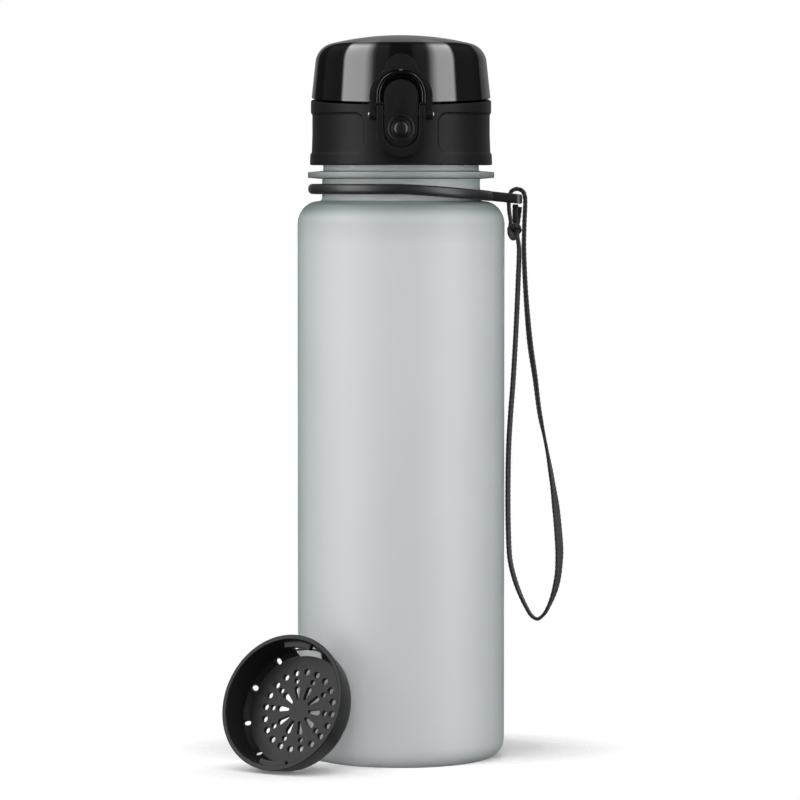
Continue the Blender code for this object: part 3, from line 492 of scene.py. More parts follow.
def lathe(name, outline, steps=ring_steps, sharp=sharp_angle, longest=None):
    """Spin an outline of (radius, height) points about Z; longest splits its long edges."""
    points = list(outline)
    closed = points[0][0] > 0 or points[-1][0] > 0
    if longest:
        points = split_edges(points, longest, closed)
    angles = [math.tau * i / steps for i in range(steps)]
    shape = bmesh.new()
    rings = []
    for radius, height in points:
        if radius == 0:
            rings.append([shape.verts.new((0, 0, height))] * steps)
            continue
        rings.append([shape.verts.new((radius * math.cos(a), radius * math.sin(a), height)) for a in angles])
    pairs = list(zip(rings, rings[1:]))
    if closed:
        pairs.append((rings[-1], rings[0]))
    for one, two in pairs:
        if one[0] is one[1] and two[0] is two[1]:
            continue
        for i in range(steps):
            corners = []
            for vertex in (one[i - 1], one[i], two[i], two[i - 1]):
                if vertex not in corners:
                    corners.append(vertex)
            shape.faces.new(corners)
    return add_piece(name, shape, sharp)


def split_edges(points, longest, closed):
    """Add points to an outline, so that no edge is longer than longest."""
    found = []
    ends = points[1:] + (points[:1] if closed else [])
    for start, end in zip(points, ends):
        count = max(1, math.ceil(math.dist(start, end) / longest))
        found += [tuple(a + (b - a) * i / count for a, b in zip(start, end)) for i in range(count)]
    if not closed:
        found.append(points[-1])
    return found


def slab(name, outline, place, low, high):
    """Carry a closed flat outline from low to high; place maps (u, v, w) to a point."""
    shape = bmesh.new()
    near = [shape.verts.new(place(u, v, low)) for u, v in outline]
    far = [shape.verts.new(place(u, v, high)) for u, v in outline]
    shape.faces.new(near)
    shape.faces.new(reversed(far))
    for i in range(len(outline)):
        shape.faces.new((near[i - 1], near[i], far[i], far[i - 1]))
    return add_piece(name, shape)


def along_y(u, v, w):
    return (u, w, v)


def along_x(u, v, w):
    return (w, u, v)


def along_z(u, v, w):
    return (u, v, w)


def rod(name, y, z, radius, low, high, round_over=0.0, steps=rod_steps):
    """A rod along X with rounded ends."""
    ends = max(round_over, joining_distance)
    outline = [(0, low)] + arc((radius - ends, low + ends), ends, -quarter, 0, 4)
    outline += arc((radius - ends, high - ends), ends, 0, quarter, 4) + [(0, high)]
    item = lathe(name, outline, steps)
    item.data.transform(Matrix.Translation((0, y, z)) @ Matrix.Rotation(quarter, 4, "Y"))
    return item


def bore(y, z, radius, low, high, steps=rod_steps):
    return slab("bore", arc((y, z), radius, 0, math.tau, steps)[:-1], along_x, low, high)


def shaped(item, cuts=(), joins=(), sharp=sharp_angle, soft_edge=0.0, soft_count=2):
    """Join and cut a piece with others, soften its sharp edges and keep the result."""
    for operation, tools in (("UNION", joins), ("DIFFERENCE", cuts)):
        for tool in tools:
            modifier = item.modifiers.new(operation.title(), "BOOLEAN")
            modifier.operation = operation
            modifier.solver = "EXACT"
            modifier.object = tool
    if soft_edge:
        bevel = item.modifiers.new("Soft edge", "BEVEL")
        bevel.width = soft_edge
        bevel.segments = soft_count
        bevel.limit_method = "ANGLE"
        bevel.angle_limit = sharp_angle
    seen = item.evaluated_get(bpy.context.evaluated_depsgraph_get())
    mesh = bpy.data.meshes.new_from_object(seen)
    name = item.name
    for piece in (item, *cuts, *joins):
        bpy.data.objects.remove(piece, do_unlink=True)
    result = show_mesh(name, mesh, sharp)
    result.name = name
    return result


def joined(name, items, sharp=sharp_angle):
    """Put several meshes into one object, with their braid coordinates if they have them."""
    shape = bmesh.new()
    for item in items:
        shape.from_mesh(item.data)
        bpy.data.objects.remove(item, do_unlink=True)
    return add_piece(name, shape, sharp)


def lean_rim(item, above, slope):
    """Lean the flat rim of a piece: every point that above names moves with Y."""
    for vertex in item.data.vertices:
        if above(vertex.co):
            vertex.co.z += slope * vertex.co.y
    item.data.update()


def dress(item, body, material, replaced=()):
    """Give a piece its material, its body and the nodes that it stands for."""
    item.data.materials.clear()
    item.data.materials.append(material)
    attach(item, body)
    if replaced:
        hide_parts(*replaced)
    return item


# Lace: a flat braided tape swept along a route

def smooth_route(points, step):
    """A Catmull-Rom curve through points, as (place, share of the way) pairs."""
    path = [Vector(p) for p in points]
    padded = [2 * path[0] - path[1]] + path + [2 * path[-1] - path[-2]]
    found = [(path[0], 0.0)]
    for k, (before, start, end, after) in enumerate(zip(padded, padded[1:], padded[2:], padded[3:])):
        count = max(1, round((end - start).length / step))
        for i in range(1, count + 1):
            t = i / count
            found.append((0.5 * (
                2 * start + (end - before) * t
                + (2 * before - 5 * start + 4 * end - after) * t ** 2
                + (3 * start - before - 3 * end + after) * t ** 3
            ), k + t))
    return found


def eased(keys, at):
    """A value between keys of (place, value), eased in and out of each."""
    for (start, one), (end, two) in zip(keys, keys[1:]):
        if at <= end:
            share = max(0.0, (at - start) / (end - start))
            share = share * share * (3 - 2 * share)
            return one + (two - one) * share
    return keys[-1][1]


def braid_lift(along, across):
    """Height of the braid's strands at a place: slanted rolls in columns across the lace."""
    column = (across + 1) / 2 * lace_columns
    lean = 1 if int(column) % 2 == 0 else -1
    roll = abs(math.sin(math.pi * (along / lace_pitch + lean * (column % 1.0) * 0.5)))
    seam = abs(math.sin(math.pi * (column % 1.0)))
    return lace_relief * (math.sqrt(roll) * (lace_seam_share + (1 - lace_seam_share) * math.sqrt(seam)) - 1)


def sweep_lace(name, route, turns, width=lace_width, thickness=lace_thickness, sides=lace_sides):
    """Sweep the flat section, with its braid in relief, along a route."""
    path = smooth_route(route, lace_step)
    shape = bmesh.new()
    marks = shape.loops.layers.uv.new("braid")
    rings = []
    run = 0.0
    for i, (place, share) in enumerate(path):
        before = path[max(i - 1, 0)][0]
        after = path[min(i + 1, len(path) - 1)][0]
        tangent = (after - before).normalized()
        run += (place - before).length if i else 0.0
        level = (Vector((0, 1, 0)) - tangent * tangent.y).normalized()
        turn = Matrix.Rotation(math.radians(eased(turns, share)), 3, tangent)
        wide = turn @ level
        thin = tangent.cross(wide)
        ring = []
        for j in range(sides):
            angle = math.tau * j / sides
            cos, sin = math.cos(angle), math.sin(angle)
            u = math.copysign(abs(cos) ** lace_squareness, cos)
            v = math.copysign(abs(sin) ** lace_squareness, sin)
            inner = max(-lace_inner_share, min(lace_inner_share, u))
            lift = braid_lift(run + (lace_pitch / 2 if v < 0 else 0), inner)
            ring.append(shape.verts.new(
                place + wide * u * (width / 2 + lift) + thin * v * (thickness / 2 + lift)
            ))
        rings.append((ring, run))
    for (one, start), (two, end) in zip(rings, rings[1:]):
        for j in range(sides):
            face = shape.faces.new((one[j - 1], one[j], two[j], two[j - 1]))
            for loop, (at, k) in zip(face.loops, ((start, j - 1), (start, j), (end, j), (end, j - 1))):
                loop[marks].uv = (at / lace_pitch, math.cos(math.tau * k / sides))
    shape.faces.new(rings[0][0])
    shape.faces.new(reversed(rings[-1][0]))
    return add_piece(name, shape, swept_sharp_angle), [p for p, _ in path]


# Materials

def new_group(name, inputs, outputs):
    """A shader node group with named sockets; returns its tree, inputs and outputs nodes."""
    tree = bpy.data.node_groups.new(name, "ShaderNodeTree")
    for label, kind, value in inputs:
        socket = tree.interface.new_socket(name=label, in_out="INPUT", socket_type=kind)
        if value is not None:
            socket.default_value = value
    for label, kind in outputs:
        tree.interface.new_socket(name=label, in_out="OUTPUT", socket_type=kind)
    return tree, tree.nodes.new("NodeGroupInput"), tree.nodes.new("NodeGroupOutput")


def maths(tree, operation, one, two=None, clamp=False, third=None):
    """A maths node whose values are numbers or sockets."""
    node = tree.nodes.new("ShaderNodeMath")
    node.operation = operation
    node.use_clamp = clamp
    for socket, value in zip(node.inputs, (one, two, third)):
        if value is None:
            continue
        if isinstance(value, (int, float)):
            socket.default_value = value
        else:
            tree.links.new(value, socket)
    return node.outputs[0]


def noise(tree, vector, scale, detail=3.0, rough=0.5):
    node = tree.nodes.new("ShaderNodeTexNoise")
    node.inputs["Detail"].default_value = detail
    node.inputs["Roughness"].default_value = rough
    tree.links.new(vector, node.inputs["Vector"])
    if isinstance(scale, (int, float)):
        node.inputs["Scale"].default_value = scale
    else:
        tree.links.new(scale, node.inputs["Scale"])
    return node.outputs["Fac"]


def blend_colors(tree, factor, one, two):
    node = tree.nodes.new("ShaderNodeMix")
    node.data_type = "RGBA"
    tree.links.new(factor, node.inputs["Factor"])
    for socket, value in ((node.inputs[6], one), (node.inputs[7], two)):
        if isinstance(value, tuple):
            socket.default_value = value
        else:
            tree.links.new(value, socket)
    return node.outputs[2]


def make_moulded_grain():
    """Fine pitted grain, and a slow drift in colour and roughness."""
    tree, given, out = new_group(
        "moulded_grain",
        (
            ("Position", "NodeSocketVector", None),
            ("Light Color", "NodeSocketColor", (0.5, 0.5, 0.5, 1)),
            ("Deep Color", "NodeSocketColor", (0.4, 0.4, 0.4, 1)),
            ("Grain Scale", "NodeSocketFloat", 2500.0),
            ("Drift Scale", "NodeSocketFloat", 45.0),
            ("Roughness", "NodeSocketFloat", 0.5),
            ("Roughness Swing", "NodeSocketFloat", 0.08),
        ),
        (("Color", "NodeSocketColor"), ("Roughness", "NodeSocketFloat"), ("Height", "NodeSocketFloat")),
    )
    grain = noise(tree, given.outputs["Position"], given.outputs["Grain Scale"], detail=2.0, rough=0.55)
    drift = noise(tree, given.outputs["Position"], given.outputs["Drift Scale"], detail=4.0, rough=0.6)
    mixed = blend_colors(tree, drift, given.outputs["Deep Color"], given.outputs["Light Color"])
    tree.links.new(mixed, out.inputs["Color"])
    swing = maths(tree, "MULTIPLY", maths(tree, "SUBTRACT", drift, 0.5), given.outputs["Roughness Swing"])
    fine = maths(tree, "MULTIPLY", maths(tree, "SUBTRACT", grain, 0.5), given.outputs["Roughness Swing"])
    total = maths(tree, "ADD", maths(tree, "ADD", given.outputs["Roughness"], swing), fine, clamp=True)
    tree.links.new(total, out.inputs["Roughness"])
    tree.links.new(grain, out.inputs["Height"])
    return tree


def make_braid_weave():
    """Slanted strands in columns, as a mask between strand and gap, with fibre noise."""
    tree, given, out = new_group(
        "braid_weave",
        (
            ("Place", "NodeSocketVector", None),
            ("Position", "NodeSocketVector", None),
            ("Columns", "NodeSocketFloat", float(lace_columns)),
            ("Fibre Scale", "NodeSocketFloat", 3500.0),
        ),
        (("Strand", "NodeSocketFloat"), ("Fibre", "NodeSocketFloat"), ("Height", "NodeSocketFloat")),
    )
    parts = tree.nodes.new("ShaderNodeSeparateXYZ")
    tree.links.new(given.outputs["Place"], parts.inputs[0])
    half = maths(tree, "MULTIPLY", maths(tree, "ADD", parts.outputs["Y"], 1.0), 0.5)
    column = maths(tree, "MULTIPLY", half, given.outputs["Columns"])
    across = maths(tree, "FRACT", column)
    odd = maths(tree, "MODULO", maths(tree, "FLOOR", column), 2.0)
    lean = maths(tree, "MULTIPLY", maths(tree, "SUBTRACT", 0.5, odd), across)
    roll = maths(tree, "MULTIPLY", maths(tree, "ADD", parts.outputs["X"], lean), math.pi)
    ridge = maths(tree, "ABSOLUTE", maths(tree, "SINE", roll))
    seam = maths(tree, "SINE", maths(tree, "MULTIPLY", across, math.pi))
    strand = maths(tree, "POWER", maths(tree, "MULTIPLY", ridge, seam), 0.5, clamp=True)
    fibre = noise(tree, given.outputs["Position"], given.outputs["Fibre Scale"], detail=2.0, rough=0.6)
    tree.links.new(strand, out.inputs["Strand"])
    tree.links.new(fibre, out.inputs["Fibre"])
    tree.links.new(maths(tree, "ADD", strand, maths(tree, "MULTIPLY", fibre, 0.4)), out.inputs["Height"])
    return tree


def shader_of(material):
    material.use_nodes = True
    return material.node_tree, material.node_tree.nodes["Principled BSDF"]


def object_place(tree):
    return tree.nodes.new("ShaderNodeTexCoord").outputs["Object"]


def add_bump(tree, shader, height, distance, strength):
    bump = tree.nodes.new("ShaderNodeBump")
    bump.inputs["Distance"].default_value = distance
    bump.inputs["Strength"].default_value = strength
    tree.links.new(height, bump.inputs["Height"])
    tree.links.new(bump.outputs["Normal"], shader.inputs["Normal"])


def make_moulded(name, light, deep, roughness, swing, grain_scale, bump_distance, bump_strength, drift=45.0,
                 fixed=()):
    """A moulded plastic or rubber; fixed holds sockets that are the same all over."""
    material = bpy.data.materials.new(name)
    tree, shader = shader_of(material)
    grain = tree.nodes.new("ShaderNodeGroup")
    grain.node_tree = moulded_grain
    grain.inputs["Light Color"].default_value = (*light, 1)
    grain.inputs["Deep Color"].default_value = (*deep, 1)
    grain.inputs["Roughness"].default_value = roughness
    grain.inputs["Roughness Swing"].default_value = swing
    grain.inputs["Grain Scale"].default_value = grain_scale
    grain.inputs["Drift Scale"].default_value = drift
    tree.links.new(object_place(tree), grain.inputs["Position"])
    tree.links.new(grain.outputs["Color"], shader.inputs["Base Color"])
    tree.links.new(grain.outputs["Roughness"], shader.inputs["Roughness"])
    add_bump(tree, shader, grain.outputs["Height"], bump_distance, bump_strength)
    for socket, value in fixed:
        shader.inputs[socket].default_value = value
    return material


# Painted shade on the frosted wall, as tints: darker and greener where it turns away from the eye, and by
# height above the floor
edge_shade_tints = (
    (0.0, (1.0, 1.0, 1.0)), (0.34, (1.0, 1.0, 1.0)), (0.55, (0.90, 0.94, 0.93)), (0.80, (0.64, 0.71, 0.70)),
    (1.0, (0.50, 0.57, 0.56)),
)
# Painted shade by height: the body darkening up to the shoulder's top under the band, and the flange; painted
# light on the neck, lifted against the shade under the collar
shade_band_low = 0.165
shade_band_span = 0.030
height_shade_tints = (
    (0.1652, (0.84, 0.84, 0.84)), (0.1664, (0.81, 0.81, 0.81)), (0.1707, (0.74, 0.75, 0.75)),
    (0.1720, (0.71, 0.73, 0.73)), (0.1732, (0.67, 0.70, 0.69)), (0.1745, (0.50, 0.54, 0.53)),
    (0.1758, (0.32, 0.36, 0.35)), (0.1774, (0.30, 0.34, 0.33)), (0.1783, (0.98, 1.0, 1.0)),
    (0.1850, (0.98, 1.0, 1.0)), (0.1853, (0.34, 0.37, 0.36)), (0.1874, (0.48, 0.51, 0.50)),
    (0.1878, (0.98, 1.0, 1.0)),
)


def color_ramp(tree, value, stops):
    ramp = tree.nodes.new("ShaderNodeValToRGB")
    while len(ramp.color_ramp.elements) < len(stops):
        ramp.color_ramp.elements.new(0.5)
    for element, (place, color) in zip(ramp.color_ramp.elements, stops):
        element.position = place
        element.color = (*color, 1)
    tree.links.new(value, ramp.inputs["Fac"])
    return ramp.outputs["Color"]


def tinted(tree, color, tint):
    """A colour multiplied by a tint."""
    mix = tree.nodes.new("ShaderNodeMix")
    mix.data_type = "RGBA"
    mix.blend_type = "MULTIPLY"
    mix.inputs["Factor"].default_value = 1.0
    tree.links.new(color, mix.inputs["A"])
    tree.links.new(tint, mix.inputs["B"])
    return mix.outputs["Result"]


def make_frosted():
    """Frosted plastic with painted shade: darker and greener towards its edges, darker at the shoulder's top
    and the flange, and the neck painted lighter.
    """
    material = make_moulded(
        "frosted_plastic", light=(0.86, 0.875, 0.88), deep=(0.82, 0.835, 0.84), roughness=0.52, swing=0.06,
        grain_scale=2600.0, bump_distance=0.00003, bump_strength=0.35, drift=14.0,
        fixed=(("Transmission Weight", 0.58), ("IOR", 1.5)),
    )
    tree = material.node_tree
    shader = next(node for node in tree.nodes if node.type == "BSDF_PRINCIPLED")
    color = shader.inputs["Base Color"].links[0].from_socket
    facing = tree.nodes.new("ShaderNodeLayerWeight").outputs["Facing"]
    height = tree.nodes.new("ShaderNodeSeparateXYZ")
    tree.links.new(object_place(tree), height.inputs[0])
    span = maths(tree, "MULTIPLY_ADD", height.outputs["Z"], 1 / shade_band_span, third=-shade_band_low / shade_band_span)
    # Painted shade: the wall darker and greener where it turns away from the eye
    color = tinted(tree, color, color_ramp(tree, facing, edge_shade_tints))
    levels = [((z - shade_band_low) / shade_band_span, tint) for z, tint in height_shade_tints]
    # Painted shade at the shoulder's top and the flange, and painted light on the neck
    color = tinted(tree, color, color_ramp(tree, span, levels))
    tree.links.new(color, shader.inputs["Base Color"])
    return material


# Painted shade in the braid's gaps between strands, against the strands' own black
lace_gap_shade_color = (0.003, 0.003, 0.003, 1)
lace_strand_color = (0.014, 0.014, 0.0147, 1)
lace_roughness = 0.55
lace_roughness_swing = 0.25
steel_deep_color = (0.46, 0.46, 0.47, 1)
steel_light_color = (0.66, 0.66, 0.67, 1)
steel_roughness = 0.16
steel_roughness_swing = 0.18


def make_lace_cloth():
    """Black braided cloth: painted shade in the gaps between slanted strands, with loose fibres."""
    material = bpy.data.materials.new("lace_cloth")
    tree, shader = shader_of(material)
    weave = tree.nodes.new("ShaderNodeGroup")
    weave.node_tree = braid_weave
    uv = tree.nodes.new("ShaderNodeUVMap")
    uv.uv_map = "braid"
    tree.links.new(uv.outputs["UV"], weave.inputs["Place"])
    tree.links.new(object_place(tree), weave.inputs["Position"])
    # Painted shade: the gaps between strands darker than the strands
    color = blend_colors(tree, weave.outputs["Strand"], lace_gap_shade_color, lace_strand_color)
    tree.links.new(color, shader.inputs["Base Color"])
    rough = maths(tree, "MULTIPLY_ADD", weave.outputs["Fibre"], lace_roughness_swing, third=lace_roughness)
    tree.links.new(rough, shader.inputs["Roughness"])
    shader.inputs["Sheen Weight"].default_value = 0.15
    shader.inputs["Sheen Roughness"].default_value = 0.4
    add_bump(tree, shader, weave.outputs["Height"], distance=0.00012, strength=0.6)
    return material


def make_drawn_steel():
    """Bright drawn wire and pins, with fine scratches along X."""
    material = bpy.data.materials.new("drawn_steel")
    tree, shader = shader_of(material)
    stretch = tree.nodes.new("ShaderNodeMapping")
    stretch.inputs["Scale"].default_value = (0.05, 1.0, 1.0)
    tree.links.new(object_place(tree), stretch.inputs["Vector"])
    streak = noise(tree, stretch.outputs["Vector"], scale=6000.0, rough=0.6)
    color = blend_colors(tree, streak, steel_deep_color, steel_light_color)
    tree.links.new(color, shader.inputs["Base Color"])
    rough = maths(tree, "MULTIPLY_ADD", streak, steel_roughness_swing, third=steel_roughness)
    tree.links.new(rough, shader.inputs["Roughness"])
    shader.inputs["Metallic"].default_value = 1.0
    add_bump(tree, shader, streak, distance=0.00002, strength=0.3)
    return material


moulded_grain = make_moulded_grain()
braid_weave = make_braid_weave()
frosted = make_frosted()
gloss = make_moulded(
    "gloss_black", light=(0.0035, 0.0035, 0.0038), deep=(0.0025, 0.0025, 0.0028), roughness=0.06, swing=0.03,
    grain_scale=260.0, bump_distance=0.00001, bump_strength=0.05, drift=60.0, fixed=(("IOR", 1.58),),
)
satin = make_moulded(
    "satin_black", light=(0.0078, 0.0078, 0.0082), deep=(0.0062, 0.0062, 0.0066), roughness=0.42, swing=0.08,
    grain_scale=3600.0, bump_distance=0.00003, bump_strength=0.30, fixed=(("Specular IOR Level", 0.09),),
)
matte = make_moulded(
    "matte_black", light=(0.0055, 0.0055, 0.0058), deep=(0.0045, 0.0045, 0.0047), roughness=0.32, swing=0.08,
    grain_scale=3200.0, bump_distance=0.00003, bump_strength=0.22, fixed=(("Specular IOR Level", 0.45),),
)
strainer_black = make_moulded(
    "strainer_black", light=(0.0085, 0.0082, 0.0084), deep=(0.0068, 0.0066, 0.0067), roughness=0.36,
    swing=0.08, grain_scale=2400.0, bump_distance=0.00003, bump_strength=0.28,
    fixed=(("Specular IOR Level", 0.14),),
)
inner_grey = make_moulded(
    "inner_grey", light=(0.052, 0.052, 0.054), deep=(0.044, 0.044, 0.046), roughness=0.40, swing=0.08,
    grain_scale=2800.0, bump_distance=0.00002, bump_strength=0.25,
)
silicone = make_moulded(
    "band_silicone", light=(0.010, 0.010, 0.0105), deep=(0.0075, 0.0075, 0.0079), roughness=0.40, swing=0.10,
    grain_scale=4200.0, bump_distance=0.00004, bump_strength=0.40, fixed=(("Specular IOR Level", 0.45),),
)
seal_grey = make_moulded(
    "seal_silicone", light=(0.33, 0.34, 0.34), deep=(0.28, 0.29, 0.29), roughness=0.55, swing=0.08,
    grain_scale=4200.0, bump_distance=0.00003, bump_strength=0.35,
)
lace_cloth = make_lace_cloth()
steel = make_drawn_steel()


# Bottle

def make_bottle_shell():
    inner_radius = bottle_radius - bottle_wall
    shoulder = (bottle_radius - neck_radius - neck_root_round, shoulder_top - body_height)
    corner = neck_radius + neck_root_round
    outline = [
        (0, base_recess), (base_recess_radius, base_recess_edge), (base_step_radius, base_step),
        (base_flat_radius, 0),
    ]
    outline += arc((bottle_radius - base_round, base_round), base_round, -quarter, 0, 14)
    outline += arc((corner, body_height), shoulder, 0, quarter, 20)
    outline += arc((corner, shoulder_top + neck_root_round), neck_root_round, 3 * quarter, 2 * quarter, 6)[1:]
    outline += rounded([
        (neck_radius, flange_bottom - flange_taper, neck_fillet),
        (flange_radius, flange_bottom + flange_taper / 4, flange_round),
        (flange_radius, flange_top - flange_taper / 4, flange_round),
        (thread_neck_radius, flange_top + flange_taper, neck_fillet),
        (thread_neck_radius, neck_top, lip_round),
        (neck_bore_radius, neck_top, lip_round),
    ])
    reach = (shoulder[0] - bottle_wall, shoulder[1] - bottle_wall)
    outline += [(neck_bore_radius, shoulder_top - bottle_wall)]
    outline += arc((corner, body_height), reach, quarter, 0, 16)
    round_inside = base_round - bottle_wall
    middle = (inner_radius - round_inside, base_thickness + round_inside)
    outline += arc(middle, round_inside, 0, -quarter, 12)
    outline += [(0, base_thickness + base_recess)]
    return lathe("bottle_shell", outline)


def make_thread(name, root_radius, crest_radius, low):
    """Helical ridges, one for each start, that rise and fade at their ends."""
    shape = bmesh.new()
    for start in range(thread_starts):
        rings = []
        for i in range(thread_steps + 1):
            share = i / thread_steps
            angle = math.tau * start / thread_starts + thread_span * share
            height = low + thread_lead * thread_span * share / math.tau
            fade = min(1.0, thread_fade_rate * share, thread_fade_rate * (1 - share))
            fade = thread_end_share + (1 - thread_end_share) * fade
            crest = root_radius + (crest_radius - root_radius) * fade
            direction = Vector((math.cos(angle), math.sin(angle), 0))
            section = (
                (root_radius, -thread_half_height),
                (crest, -thread_half_height * thread_crest_share),
                (crest, thread_half_height * thread_crest_share),
                (root_radius, thread_half_height),
            )
            rings.append([shape.verts.new(direction * r + Vector((0, 0, height + z))) for r, z in section])
        for one, two in zip(rings, rings[1:]):
            for j in range(len(section)):
                shape.faces.new((one[j - 1], one[j], two[j], two[j - 1]))
        shape.faces.new(rings[0])
        shape.faces.new(reversed(rings[-1]))
    return add_piece(name, shape)


dress(make_bottle_shell(), "bottle", frosted, ("bottle",))
dress(
    make_thread("neck_thread", thread_neck_radius - thread_sink, thread_neck_radius + thread_depth,
                neck_thread_low),
    "bottle", frosted,
)


# Neck seal and inner cap

def make_inner_cap():
    outline = rounded([
        (skirt_inner_radius, skirt_bottom, small_round),
        (skirt_outer_radius, skirt_bottom, small_round),
        (skirt_outer_radius, deck_top, small_round),
        (spout_radius, deck_top, spout_root_round),
        (spout_radius, spout_top, spout_lip_round),
        (spout_bore_radius, spout_top, spout_lip_round),
        (spout_bore_radius, deck_bottom, small_round),
        (bayonet_inner_radius, deck_bottom, small_round),
        (bayonet_inner_radius, bayonet_bottom, small_round),
        (bayonet_radius, bayonet_bottom, part_round),
        (bayonet_radius, deck_bottom, small_round),
        (skirt_inner_radius, deck_bottom, small_round),
    ])
    return lathe("cap_body", outline)


def make_bayonet_tabs():
    tabs = []
    for middle in (0.0, math.pi):
        start, end = middle - bayonet_tab_angle / 2, middle + bayonet_tab_angle / 2
        outline = arc((0, 0), bayonet_radius - bayonet_tab_root, start, end, 12)
        outline += arc((0, 0), bayonet_radius + bayonet_tab_reach, end, start, 12)
        low = bayonet_bottom + fit_gap
        tab = slab("tab", outline, along_z, low, low + bayonet_tab_height)
        tabs.append(shaped(tab, soft_edge=small_round))
    return joined("bayonet_tabs", tabs)


seal = lathe("neck_washer", rounded([
    (seal_inner_radius, seal_bottom, small_round),
    (seal_outer_radius, seal_bottom, small_round),
    (seal_outer_radius, seal_top, small_round),
    (seal_inner_radius, seal_top, small_round),
]))
dress(seal, "seal", seal_grey, ("neck_seal",))
dress(make_inner_cap(), "cap", inner_grey, ("inner_cap",))
dress(make_bayonet_tabs(), "cap", inner_grey)
dress(
    make_thread("skirt_thread", skirt_inner_radius + thread_sink, skirt_inner_radius - thread_depth,
                skirt_thread_low),
    "cap", inner_grey,
)


# Collar

def grip_sink(along, height):
    """How deep the grip panel is at a place on the collar, 0 to 1, soft at its edge."""
    start = grip_start_angle * collar_radius
    end = grip_end_angle * collar_radius
    middle = ((start + end) / 2, (grip_low + grip_high) / 2)
    half = ((end - start) / 2 - grip_round, (grip_high - grip_low) / 2 - grip_round)
    x = abs(along - middle[0]) - half[0]
    y = abs(height - middle[1]) - half[1]
    outside = math.hypot(max(x, 0), max(y, 0)) + min(max(x, y), 0) - grip_round
    share = min(max(0.5 - outside / grip_edge, 0), 1)
    return share * share * (3 - 2 * share)


def u_outline(half_width, centre_z, top, count=40):
    return [(half_width, top), (-half_width, top)] + arc((0, centre_z), half_width, math.pi, math.tau, count)


def arch_outline(half_width, centre_z, bottom, count=48):
    return [(-half_width, bottom), (half_width, bottom)] + arc((0, centre_z), half_width, 0, math.pi, count)


def make_collar_shell():
    waist = collar_bottom + collar_waist_height
    outline = rounded([
        (collar_inner_radius, collar_bottom, tiny_round),
        (collar_radius + collar_flare, collar_bottom, collar_foot_round),
        (collar_radius, waist, collar_waist_round),
        (collar_radius, parting_height, collar_rim_round),
        (collar_rim_inner, parting_height, tiny_round),
        (collar_rim_inner, ledge_top, tiny_round),
        (ledge_inner_radius, ledge_top, small_round),
        (ledge_inner_radius, ledge_bottom, small_round),
        (collar_inner_radius, ledge_bottom, 0),
    ], 6)
    collar = lathe("collar_shell", outline, collar_steps, longest=collar_longest_edge)
    for vertex in collar.data.vertices:
        co = vertex.co
        if math.hypot(co.x, co.y) > collar_radius - grip_skin:
            along = abs(math.atan2(co.x, -co.y)) * collar_radius
            sink = grip_depth * grip_sink(along, co.z)
            co.x *= 1 - sink / collar_radius
            co.y *= 1 - sink / collar_radius
        share = (co.z - ledge_top) / (parting_height - ledge_top)
        co.z += parting_slope * co.y * min(max(share, 0), 1)
    half = ear_inner + fit_gap / 2
    notch = bore(hinge_y, hinge_z, notch_radius, -half, half, notch_steps)
    return shaped(collar, cuts=(make_latch_pocket(), notch))


def make_latch_pocket():
    centre_z = latch_low + latch_half_width - pocket_drop
    outline = u_outline(pocket_half_width, centre_z, parting_height + overrun)
    return slab("pocket", outline, along_y, boss_front - overrun, pocket_back)


def make_boss():
    """The U-shaped boss in front of the collar, with the latch's pocket and the pin's bore."""
    outline = u_outline(boss_half_width, latch_low + latch_half_width - boss_drop, parting_height)
    boss = slab("latch_boss", outline, along_y, boss_front, boss_back)
    lean_rim(boss, lambda co: co.z > parting_height - rim_depth, parting_slope)
    reach = boss_half_width + overrun
    pin_bore = bore(pin_y, pin_z, pin_radius + pin_play, -reach, reach)
    return shaped(boss, cuts=(make_latch_pocket(), pin_bore), soft_edge=part_round, soft_count=4)


def make_hinge_ears():
    ears = []
    for side in (-1, 1):
        outline = arc((hinge_y, hinge_z), knuckle_radius, -knuckle_short_angle, knuckle_long_angle, 24)
        root = hinge_y - knuckle_radius
        outline += [(root, hinge_z - root_length), (root + root_thickness, hinge_z - root_length)]
        low, high = sorted((side * ear_inner, side * ear_outer))
        hole = bore(hinge_y, hinge_z, hinge_hole_radius, low - overrun, high + overrun)
        ears.append(shaped(slab("ear", outline, along_x, low, high), cuts=(hole,), soft_edge=small_round))
    return joined("hinge_ears", ears)


dress(make_collar_shell(), "cap", satin, ("collar",))
dress(make_boss(), "cap", satin)
dress(make_hinge_ears(), "cap", satin)


# Lid

def lid_edge_centre():
    """Centre of the arc that runs from the drafted wall into the dome, touching both."""
    wall_offset = lid_radius * math.cos(lid_draft) + lid_bottom * math.sin(lid_draft) - lid_edge_round
    dome_z = lid_top - lid_dome_radius
    reach = lid_dome_radius - lid_edge_round
    slope = math.tan(lid_draft)
    start = wall_offset / math.cos(lid_draft) - dome_z * slope
    a = 1 + slope * slope
    b = -2 * start * slope
    c = start * start - reach * reach
    rise = (-b + math.sqrt(b * b - 4 * a * c)) / (2 * a)
    return (start - slope * rise, dome_z + rise)


def make_catch_window():
    """A cutter for the opening that the latch's hook reaches through."""
    half = hook_half_width + fit_gap
    low, high = hook_low - fit_gap, hook_high + window_headroom
    return slab("window", [(-half, low), (half, low), (half, high), (-half, high)], along_y,
                window_front, window_back)


